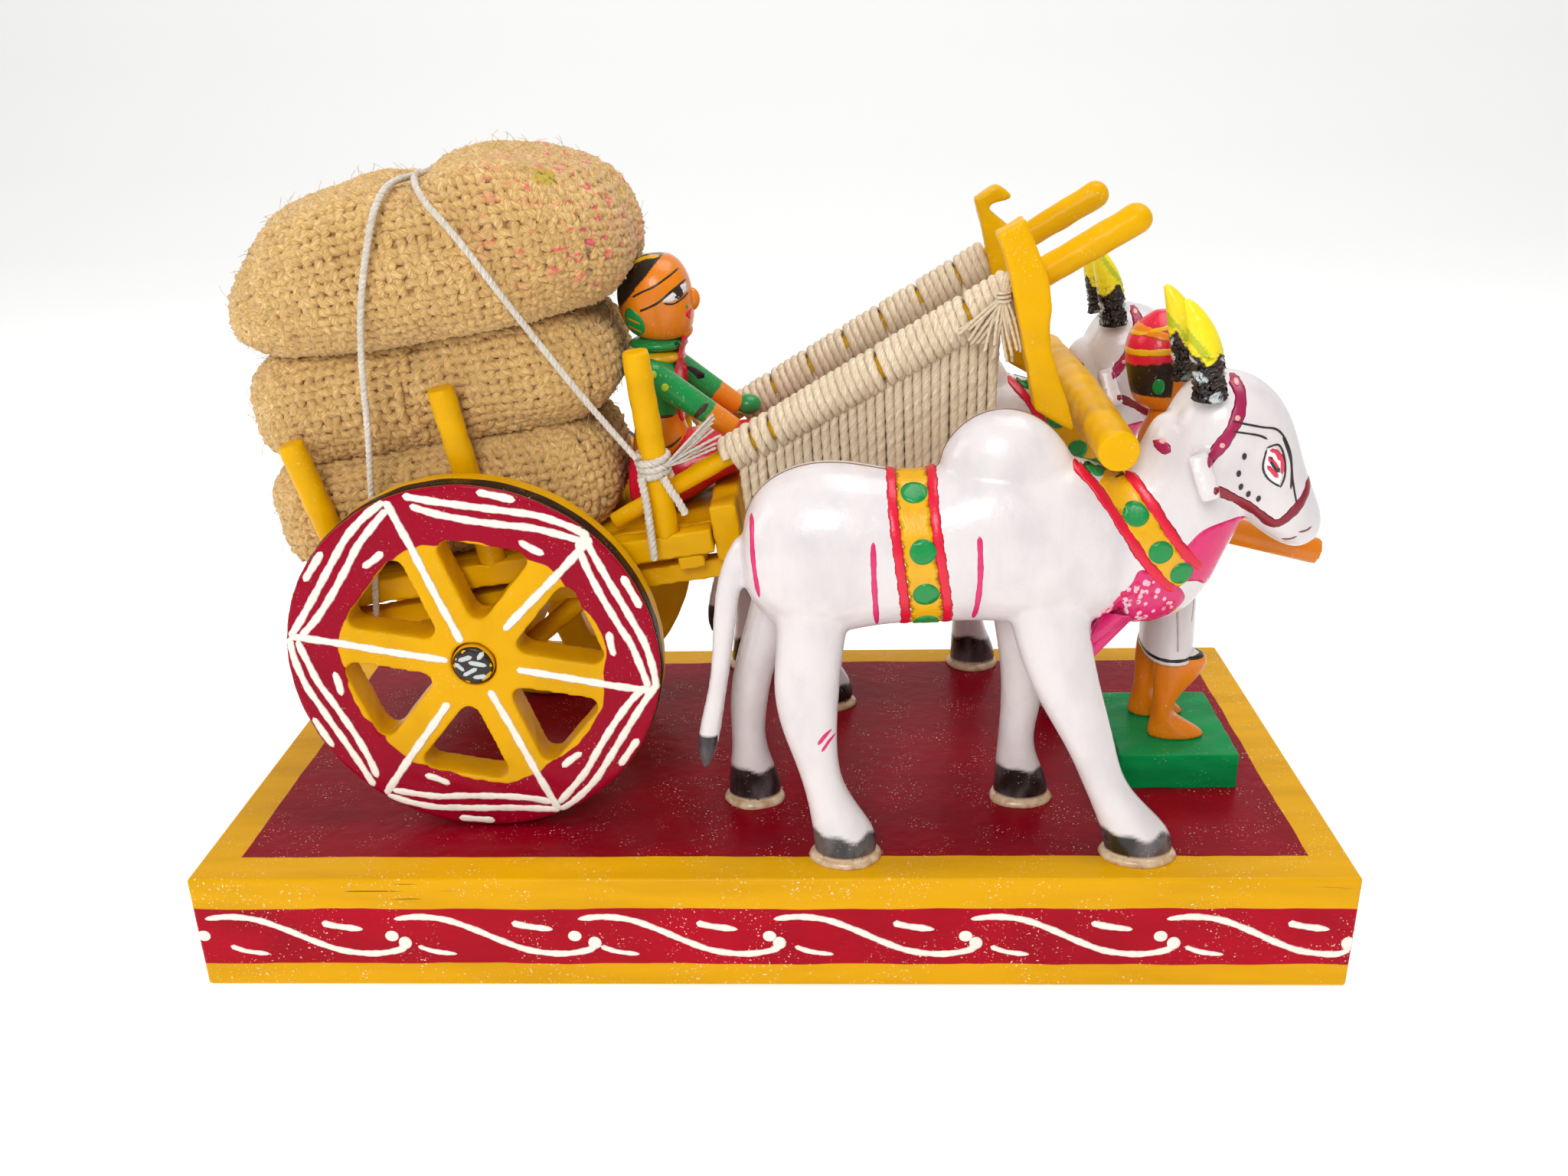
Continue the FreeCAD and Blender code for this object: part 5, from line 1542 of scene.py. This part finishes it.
        brush.stroke(on(((91.2, 107.5), (94.2, 103.2), (94.4, 99.6), (92.4, 94.4), (88.4, 88.4))), strap,
                     2.5 * MM, toward, ends=(0.4, 0.8))
        brush.reach = 5 * MM
        brush.stroke(on(((72.6, 96.4), (75.4, 94.2), (78.6, 91.8), (82.4, 89.8)), 7), strap, 2.2 * MM, toward)
        brush.reach = 16 * MM
        brush.stroke(on(((89.4, 84.8), (92.4, 82.2), (96.6, 79.8), (101, 76.8), (104.6, 74.4), (107.6, 77),
                         (110.6, 81.2), (111.4, 83.4))), "#841428", 2.0 * MM, toward)
        for x, z in ((94.2, 103.4), (93.8, 97.4), (91.2, 92.2), (76.8, 96), (81, 91.6)):
            brush.dot(self.at(x, side, z, 12), 0.5 * MM, "#E9A8A0", toward, lift=2.6)
        brush.patch(on(((100.2, 90.8), (102.2, 91.4), (103.8, 88.8), (104.4, 85.2), (103.9, 83.2),
            (101.7, 84.6), (100.1, 87.2))), "#F4F0F0", toward, 0.6 * MM, 0.6)
        brush.thickness *= 1.5
        for points in (
                ((100.6, 90.9), (102.2, 90.4), (103.4, 88.4)), ((100.5, 89.6), (101.8, 88.2), (103.2, 86.6)),
                ((100.5, 87.8), (101.7, 86.6), (103.4, 84.9)), ((103, 90), (103.8, 88), (104.1, 85.6))):
            brush.stroke(on(points), "#D8304E", 1.1 * MM, toward)
        brush.stroke(on(((100.7, 89.7), (101.8, 88), (103.5, 86))), Paint.BLACK, 1.3 * MM, toward)
        for points in (((99.9, 91.4), (102.6, 91.7), (104.3, 88.6), (104.8, 85), (104.2, 82.6)),
                       ((100, 91.2), (99.7, 87.6), (101.2, 84.9), (104.2, 82.8)),
                       ((92.6, 96.9), (98.4, 95.6), (102.5, 94.4), (105.4, 90), (106.8, 83.8), (108.3, 78.8)),
                       ((92.6, 95), (97.8, 94.1), (100.1, 93.1)), ((103.4, 93.2), (105.9, 87.6), (106.6, 82))):
            brush.stroke(on(points), Paint.BLACK, 0.42 * MM, toward)
        for x, z in ((95.6, 90), (95, 86.4), (96, 83.4), (97.9, 81.6), (100.2, 80.4)):
            brush.dot(self.at(x, side, z, 12), 0.42 * MM, Paint.BLACK, toward, 1.6)
        for x, z in ((109.6, 72.6), (106.9, 70.6)):
            brush.stroke(on(((x, z), (x + 1.4, z + 0.2), (x + 2.6, z + 1.0))), "#7B4A3A", 0.4 * MM, toward)
        brush.thickness /= 1.5

    def ridge(self, brush: Brush) -> None:
        """The thin brown line along the top of the back, hump and neck."""
        down = Vector((0, 0, -1))
        line = [(-3.6, 79), (-1, 84), (4, 87), (14, 88.5), (26, 88), (36, 88), (41, 93), (45.4, 99.5),
            (50, 100), (56, 97.5), (62, 94)]
        brush.stroke([self.at(x, 0, z + 3) for x, z in line], "#7A5A3C", 0.55 * MM, down)

    def horns(self) -> None:
        """Horns with black bases flecked with silver painted highlights, and lemon tips."""
        node = f"ox_{self.side_name}_horns"
        piece = whittled(f"{node}_carved", [node], 0.4 * MM, 2)
        x, y, z = points_of(piece.data).T
        height = (z - z.min()) / (z.max() - z.min())
        ragged = height + 0.07 * np.sin(x / (0.8 * MM)) + 0.04 * np.sin(y / (0.7 * MM))
        # Silver glint flecks on the black base are painted highlights.
        glint = np.sin(x / (0.9 * MM) + z / (1.9 * MM)) + np.sin(z / (0.8 * MM)) + np.sin(y / (0.7 * MM)) > 1.35
        moss = (np.sin(z / (1.7 * MM) + x / (1.2 * MM)) > 0.8) & (ragged > 0.5)
        tones = np.tile(np.array(linear(Paint.LEMON)), (len(x), 1))
        for here, paint in ((ragged < 0.46, "#211A16"), (glint & (ragged < 0.42), Paint.SILVER),
                (moss, "#B8C21C")):
            tones[here] = linear(paint)
        tint_points(piece, tones)
        for vertex, high in zip(piece.data.vertices, height):
            low = float(1 - high)
            vertex.co += vertex.normal * low ** 1.5 * 0.9 * MM + Z_AXIS * low ** 2 * 3.6 * MM
        finish_piece(piece, Slot.HORN, Finish.FIGURE, [node])

    def glue(self, hide: Piece) -> None:
        """Pads of dried glue under the hooves, squeezed out onto the deck."""
        verts: list[Vector] = []
        faces: list[tuple[int, ...]] = []
        hand = Random(41 + ord(self.side_name[0]))
        for part in self.HIDE[2:6]:
            low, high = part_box(f"ox_{self.side_name}_{part}")
            near = [v.co for v in hide.data.vertices if v.co.z < DECK + 3 * MM
                    and low.x - MM < v.co.x < high.x + MM and low.y - MM < v.co.y < high.y + MM]
            if not near:
                continue
            centre = sum(near, Vector()) / len(near)
            half_x = max(abs(p.x - centre.x) for p in near) + 0.5 * MM
            half_y = max(abs(p.y - centre.y) for p in near) + 0.5 * MM
            base = len(verts)
            wobble = [hand.uniform(-0.06, 0.08) for _ in range(24)]
            for spread, rise in ((1.04, -0.2), (1.08, 0.3), (1.02, 1.1), (0.86, 1.7)):
                for k, turn in enumerate(angles(24)):
                    soft = (wobble[k - 1] + wobble[k] + wobble[(k + 1) % 24]) / 3
                    verts.append(Vector((centre.x + half_x * (spread + soft) * cos(turn),
                                         centre.y + half_y * (spread + soft) * sin(turn),
                                         DECK + rise * MM)))
            faces += bridged([range(base + level * 24, base + level * 24 + 24) for level in range(4)])
        piece = mesh_object(f"ox_{self.side_name}_hoof_glue", verts, faces)
        finish_piece(piece, Slot.GLUE, Finish.GLUE)


# --- Dolls ---

Tinter = Callable[[float, float, float], Paint | str]


@dataclass
class Doll:
    """A small turned and whittled figure painted with oil enamel."""

    name: str
    centre_y: float
    voxel: float = 0.42 * MM
    parts: list[Piece] = field(default_factory=list)

    def at(self, x: float, y: float, z: float) -> Vector:
        """A place in mm: along, away from the doll's own middle, above the deck."""
        return Vector((x * MM, self.centre_y + y * MM, DECK + z * MM))

    def carve(self, node: str, tint: Tinter, passes: int = 2,
              mould: Callable[[float, float, float], tuple[float, float, float]] | None = None) -> None:
        """Softens one part, moulds it if asked and tints it point by point."""
        piece = whittled(f"{node}_carved", [node], self.voxel, passes)
        if mould is not None:
            for vertex in piece.data.vertices:
                vertex.co = self.at(*mould(vertex.co.x / MM, (vertex.co.y - self.centre_y) / MM,
                                           (vertex.co.z - DECK) / MM))
        tones = {}
        values = []
        for vertex in piece.data.vertices:
            x, y, z = vertex.co.x / MM, (vertex.co.y - self.centre_y) / MM, (vertex.co.z - DECK) / MM
            paint = tint(x, y, z)
            if paint not in tones:
                tones[paint] = linear(paint)
            values.extend(tones[paint])
        tint_points(piece, values)
        self.parts.append(finish_piece(piece, Slot.DOLL, Finish.FIGURE, [node]))

    def lumps(self, name: str, items: Sequence[tuple[Sequence[float], Sequence[float], Paint | str]]) -> None:
        """Small rounded parts, each from its centre, half sizes in mm and paint."""
        verts: list[Vector] = []
        faces: list[tuple[int, ...]] = []
        tones: list[float] = []
        for centre, half, paint in items:
            base = len(verts)
            for row in range(1, 10):
                polar = pi * row / 10
                for turn in angles(20):
                    verts.append(self.at(centre[0] + half[0] * sin(polar) * cos(turn),
                                         centre[1] + half[1] * sin(polar) * sin(turn),
                                         centre[2] + half[2] * cos(polar)))
            faces += bridged([range(base + row * 20, base + row * 20 + 20) for row in reversed(range(9))])
            tones += list(linear(paint)) * 180
        piece = mesh_object(name, verts, faces)
        tint_points(piece, tones)
        self.parts.append(finish_piece(piece, Slot.DOLL, Finish.FIGURE))

    def profile(self, brush: Brush, side: int, points: Marks, paint: Paint | str,
                width: float, out: float = 9.0) -> None:
        """A stroke on one side of the doll, from places along and up."""
        brush.stroke([self.at(x, side * out, z) for x, z in points], paint, width * MM,
                     Vector((0, -side, 0)), ends=(1.2, 1.6))

    def fill(self, brush: Brush, side: int, points: Marks, paint: Paint | str,
             out: float = 9.0, lift: float = 0.6) -> None:
        """A filled shape on one side of the doll."""
        brush.patch([self.at(x, side * out, z) for x, z in points], paint, Vector((0, -side, 0)), 0.6 * MM,
            lift)


@dataclass
class Driver(Doll):
    """The seated woman who drives the cart."""

    name: str = "driver"
    centre_y: float = 0.0

    def build(self) -> None:
        """Carves and paints the woman."""
        # The skirt's lower back, tucked against the sacks, is a darker red: painted shade.
        self.carve("driver_skirt", lambda x, y, z: Paint.RED if z > 67.2 or x > -25 else "#C20D26")
        self.carve("driver_trunk", self.trunk)
        self.carve("driver_head", self.head, mould=lambda x, y, z: (
            min(x, -24 + (x + 24) * 0.86), y, max(z + 1.3, 105.2)))
        for side_name, _ in SIDES:
            self.carve(f"driver_arm_{side_name}", self.arm)
        self.lumps("driver_features", (
            ((-16, 0, 114), (1.9, 1.5, 2.6), Paint.ORANGE), ((-18.2, 0, 107.2), (2.2, 3.2, 2.0), Paint.ORANGE),
            ((-23.9, 0, 101.4), (6.0, 6.0, 2.1), Paint.YELLOW), ((-23.9, 0, 104.4), (6.7, 6.5, 1.9), Paint.GREEN),
            ((-4.8, 10.6, 87), (3.2, 2.9, 2.5), Paint.GREEN)))
        brush = Brush("driver_brushwork", CART, self.parts, thickness=0.09 * MM, reach=7 * MM, step=0.35 * MM,
                      slack=1.8 * MM)
        for side in (-1, 1):
            self.face(brush, side)
            self.dress(brush, side)
        self.sash(brush)
        brush.done()

    def trunk(self, x: float, y: float, z: float) -> Paint | str:
        """Orange waist, green blouse, orange neck."""
        if z < 80.2:
            return Paint.RED
        if z < 88.6:
            return Paint.ORANGE
        return Paint.GREEN if z < 103.8 else Paint.ORANGE

    def head(self, x: float, y: float, z: float) -> Paint | str:
        """Black hair behind a slanting hairline."""
        return Paint.BLACK if z > (x + 31) * 1.14 + 113.6 and z > 110 else Paint.ORANGE

    def arm(self, x: float, y: float, z: float) -> Paint | str:
        """Green sleeve, orange forearm and a green cuff at the wrist."""
        along = (x + 27) * 0.79 - (z - 100) * 0.61
        if along < 17.5:
            return Paint.GREEN
        return Paint.ORANGE if along < 28 or y < 0 else Paint.GREEN

    def face(self, brush: Brush, side: int) -> None:
        """Brow, long eye, nose ring, lips, ear ornament and hair band."""
        self.profile(brush, side, ((-28.3, 115.8), (-26, 117), (-23.4, 118.1), (-20.6, 119.8), (-18.2, 121.4)),
                     Paint.BLACK, 0.45)
        self.fill(brush, side, ((-21.6, 114.9), (-19.8, 116.5), (-17.8, 118), (-15.9, 119), (-15.2, 117.6),
                                (-17.2, 115.9), (-19.4, 114.7)), Paint.WHITE)
        brush.thickness *= 1.5
        self.fill(brush, side, ((-19.3, 117.1), (-17.8, 118.1), (-17.1, 116.2), (-18.3, 115), (-19.1, 115.4)),
                  "#2A1D18")
        self.profile(brush, side, ((-26.8, 112.8), (-24.6, 113.7), (-22.6, 114.7), (-20.2, 116.5), (-18, 118.1),
                                   (-15.8, 119.4)), Paint.BLACK, 0.5)
        self.profile(brush, side, ((-21.4, 114.5), (-19.4, 114.2), (-17.4, 115.2), (-15.2, 117)), Paint.BLACK,
            0.42)
        brush.thickness /= 1.5
        self.fill(brush, side, ((-17, 113.4), (-16.2, 113.6), (-15.8, 112.9), (-16.6, 112.5)), Paint.GREEN)
        self.fill(brush, side, ((-17.1, 111.6), (-16, 112.3), (-14.9, 111.8), (-15, 110.6), (-16.2, 110.2)),
                  Paint.RED, lift=1.2)
        self.fill(brush, side, ((-29.6, 113.4), (-28.2, 112.8), (-26.8, 111.6), (-25.9, 109.6), (-26.6, 107.2),
                                (-28.9, 106.6), (-30.6, 108.6), (-30.6, 111.4)), Paint.GREEN)
        for z in (108.4, 110.4):
            self.profile(brush, side, ((-30.2, z + 0.6), (-28.4, z), (-26.8, z - 0.6)), Paint.ORANGE, 0.5)
        crown = self.at(-23.6, 0, 114)
        brush.stroke([crown + Vector((12 * cos(a), side * 3, 12 * sin(a))) * MM for a in (1.45, 1.8, 2.2, 2.6)],
                     Paint.YELLOW, 2.2 * MM, lambda p: (crown - p).normalized())

    def dress(self, brush: Brush, side: int) -> None:
        """Necklace, blouse dots, sleeve ends and waist lines."""
        for x, z in ((-19, 100.6), (-23.9, 100), (-21.4, 97.2)):
            brush.dot(self.at(x, side * 12, z), 0.85 * MM, "#A9C21A", Vector((0, -side, 0)))
        for points, width, out in ((((-12.2, 93.2), (-14.6, 90.8), (-16.9, 88)), 1.15, 16),
                                   (((-29, 88.9), (-25, 88.8), (-21.5, 88.8), (-18.6, 88.6)), 0.7, 12),
                                   (((-29, 82.6), (-25, 82.2), (-21.5, 82.6), (-18.2, 84.4)), 0.6, 12),
                                   (((-18.2, 88.4), (-18.8, 86.2), (-18.4, 84)), 0.5, 12)):
            self.profile(brush, side, points, "#4A2A20", width, out)

    def sash(self, brush: Brush) -> None:
        """The black plait and the red cloth down the front of the blouse."""
        back = Vector((-1, 0, 0.1)).normalized()
        brush.patch([self.at(-12, y, z) for y, z in ((-3.5, 105), (3.5, 105), (6.5, 99), (7, 92), (4, 86),
            (-3, 86), (-6, 92), (-5.5, 99))], Paint.RED, back)
        for side in (-1, 1):
            plait = ((3.2, 105.4), (5.6, 101.4), (7.6, 96.8), (7.2, 92))
            brush.stroke([self.at(-13, side * y, z) for y, z in plait], Paint.BLACK, 1.7 * MM, back)


@dataclass
class Man(Doll):
    """The man in a turban who stands on the green block in front of the oxen."""

    name: str = "man"
    centre_y: float = -6 * MM

    def build(self) -> None:
        """Carves and paints the man and dresses his block."""
        block = whittled("man_block_planed", ["man_block"], 0.5 * MM, 2, 0.12 * MM)
        finish_piece(block, Slot.BLOCK, Finish.BLOCK, ["man_block"])
        self.carve("man_legs", lambda x, y, z: Paint.ORANGE if z < 30.6 else Paint.WHITE, mould=self.slim)
        self.carve("man_body", lambda x, y, z: Paint.WHITE if z < 58 else Paint.ORANGE)
        self.carve("man_arms", lambda x, y, z: Paint.ORANGE)
        self.carve("man_head", self.head)
        brush = Brush("man_brushwork", CART, self.parts, thickness=0.1 * MM, reach=8 * MM, step=0.4 * MM,
                      slack=1.8 * MM)
        for side in (-1, 1):
            self.face(brush, side)
        self.turban(brush)
        self.hem(brush)
        brush.done()

    def slim(self, x: float, y: float, z: float) -> tuple[float, float, float]:
        """Legs drawn in towards their middle, most of all above the feet."""
        return 94.5 + (x - 94.5) * float(np.interp(z, (13, 31, 50, 58), (1, 0.68, 0.9, 1))), y, z

    def head(self, x: float, y: float, z: float) -> Paint | str:
        """Red turban over black hair at the back and an orange face."""
        if z > 101.0 + (x - 88) * 0.18:
            return Paint.RED
        return Paint.BLACK if x < 89.5 and z > 93 else Paint.ORANGE

    def face(self, brush: Brush, side: int) -> None:
        """Eye, brow, lips and moustache on one side."""
        self.fill(brush, side, ((89.6, 98.2), (91.6, 99.2), (94, 98.6), (94.4, 97.6), (92, 97)), Paint.WHITE, 8)
        brush.thickness *= 1.5
        self.fill(brush, side, ((91.6, 98.9), (92.9, 98.8), (92.9, 97.5), (91.7, 97.4)), "#2A1D18", 8)
        for points, paint, width in ((((88.4, 97.8), (91.4, 99.4), (94.6, 98.8)), Paint.BLACK, 0.45),
                                     (((89.4, 97.6), (92, 96.7), (94.8, 97.4)), Paint.BLACK, 0.4),
                                     (((88.6, 100), (91.6, 101), (94.8, 100.4)), Paint.BLACK, 0.45),
                                     (((95.6, 94.4), (93.4, 93.4), (91.4, 93.8)), Paint.BLACK, 0.9),
                                     (((96, 92.9), (94.4, 92.6)), Paint.RED, 0.8)):
            self.profile(brush, side, points, paint, width, 8)
        self.fill(brush, side, ((85.8, 97.2), (87.4, 96.8), (87.6, 94.4), (86.2, 93.6), (85.2, 95.2)),
            Paint.GREEN, 8)
        brush.thickness /= 1.5

    def turban(self, brush: Brush) -> None:
        """Orange and yellow bands wound round the red cloth."""
        middle = self.at(88.6, 0, 105)
        for height, tilt, paint, width in ((103.4, 0.10, Paint.YELLOW, 1.5), (106, -0.16, Paint.ORANGE, 1.7),
                                           (108.4, 0.2, Paint.YELLOW, 1.1)):
            ring = []
            for turn in angles(16):
                ring.append(self.at(88.6 + 10 * cos(turn), 9 * sin(turn), height + tilt * 10 * cos(turn)))
            brush.stroke(ring, paint, width * MM, lambda p: Vector(
                (middle.x - p.x, middle.y - p.y, 0)).normalized(), closed=True)

    def hem(self, brush: Brush) -> None:
        """Black line round the hem of the dhoti, and the cloth's folds in grey lines of painted shade."""
        for y in (-5.2, 5.2):
            centre = self.at(95.5, y, 0)
            ring = [Vector((centre.x + 9 * MM * cos(turn), centre.y + 7 * MM * sin(turn), DECK + 30.8 * MM))
                    for turn in angles(14)]
            brush.stroke(ring, Paint.BLACK, 0.8 * MM, lambda p: Vector(
                (centre.x - p.x, centre.y - p.y, 0)).normalized(), closed=True)
        for side in (-1, 1):
            # Grey fold lines: painted shade in the creases of the white cloth.
            for fold in (((92, 54), (94, 46), (95, 38), (95.4, 33)), ((98, 54), (98.6, 46), (98.4, 40))):
                self.profile(brush, side, fold, "#B9A9A6", 0.5, 12)
            self.profile(brush, side, ((86, 58), (92, 57.4), (98, 58), (101, 58.6)), Paint.RED, 1.2, 12)


# --- Studio ---

@dataclass
class Studio:
    """Pale floor, soft lamps and the camera."""

    eye: tuple[float, float, float] = (15.0 * MM, -302.5 * MM, 194.9 * MM)
    yaw: float = 2.234
    pitch: float = 22.139
    roll: float = -1.358
    focal: float = 1752 / 2048

    def build(self) -> None:
        """Sets the stage."""
        self.floor()
        self.lamps()
        self.camera()

    def floor(self) -> None:
        """One sheet that rises gently behind the toy."""
        verts, faces = [], []
        rows = [(-1.6, 0.0), (0.9, 0.0)] + [
            (0.9 + 0.6 * sin(a), 0.6 * (1 - cos(a))) for a in (0.2, 0.5, 0.8, 1.1, 1.4, 1.57)]
        rows.append((1.5, 2.2))
        for y, z in rows:
            verts += [Vector((-2.2, y, z)), Vector((2.2, y, z))]
        for k in range(len(rows) - 1):
            faces.append((2 * k, 2 * k + 1, 2 * k + 3, 2 * k + 2))
        floor = mesh_object("floor", verts, faces)
        made = bpy.data.materials.new("white paper sweep")
        at = Sockets(made)
        at.close(Base_Color=linear("#F6F6F4"), Roughness=0.9, Emission_Color=linear("#FFFFFF"),
                 Emission_Strength=0.32)
        floor.data.materials.append(made)

    def lamps(self) -> None:
        """A large lamp near the eye, one above and a pale surround."""
        world = bpy.data.worlds.new("studio")
        bpy.context.scene.world = world
        world.use_nodes = True
        world.node_tree.nodes["Background"].inputs["Color"].default_value = (1, 1, 1, 1)
        world.node_tree.nodes["Background"].inputs["Strength"].default_value = 0.36
        bpy.context.scene.view_settings.view_transform = "Standard"
        target = Vector((0, 0, 0.08))
        for name, place, size, power in (
                ("front_lamp", (-0.10, -0.70, 0.55), 0.30, 3.4), ("top_lamp", (0.25, 0.05, 0.95), 0.6, 4.6),
                ("side_lamp", (-0.9, -0.1, 0.5), 0.5, 2.6)):
            lamp = bpy.data.lights.new(name, "AREA")
            lamp.size = size
            lamp.energy = power
            holder = linked(name, lamp)
            holder.location = place
            holder.rotation_euler = (target - Vector(place)).to_track_quat("-Z", "Y").to_euler()

    def camera(self) -> None:
        """The camera, from its measured place and turns."""
        yaw, pitch, roll = (radians(a) for a in (self.yaw, self.pitch, self.roll))
        forward = Vector((-sin(yaw) * cos(pitch), cos(yaw) * cos(pitch), -sin(pitch)))
        level = Vector((cos(yaw), sin(yaw), 0))
        upright = level.cross(forward)
        right = level * cos(roll) + upright * sin(roll)
        up = upright * cos(roll) - level * sin(roll)
        lens = bpy.data.cameras.new("camera")
        lens.sensor_fit = "HORIZONTAL"
        lens.sensor_width = 36
        lens.lens = 36 * self.focal
        lens.clip_start = 0.01
        lens.dof.use_dof = False
        holder = linked("camera", lens)
        turn = Matrix((right, up, -forward)).transposed().to_4x4()
        holder.matrix_world = Matrix.Translation(Vector(self.eye)) @ turn
        bpy.context.scene.camera = holder


def main() -> None:
    """Builds every sub-assembly in order."""
    logging.basicConfig(level=logging.INFO, format="%(name)s: %(message)s")
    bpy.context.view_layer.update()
    Studio().build()
    Plinth().build()
    for side_name, side in SIDES:
        Wheel(side_name, side).build()
    Woodwork().build()
    Rigging().build()
    Load().build()
    Ox("near", -37 * MM).build()
    Ox("far", 37 * MM, -4 * MM).build()
    Driver().build()
    Man().build()


if __name__ == "__main__":
    main()
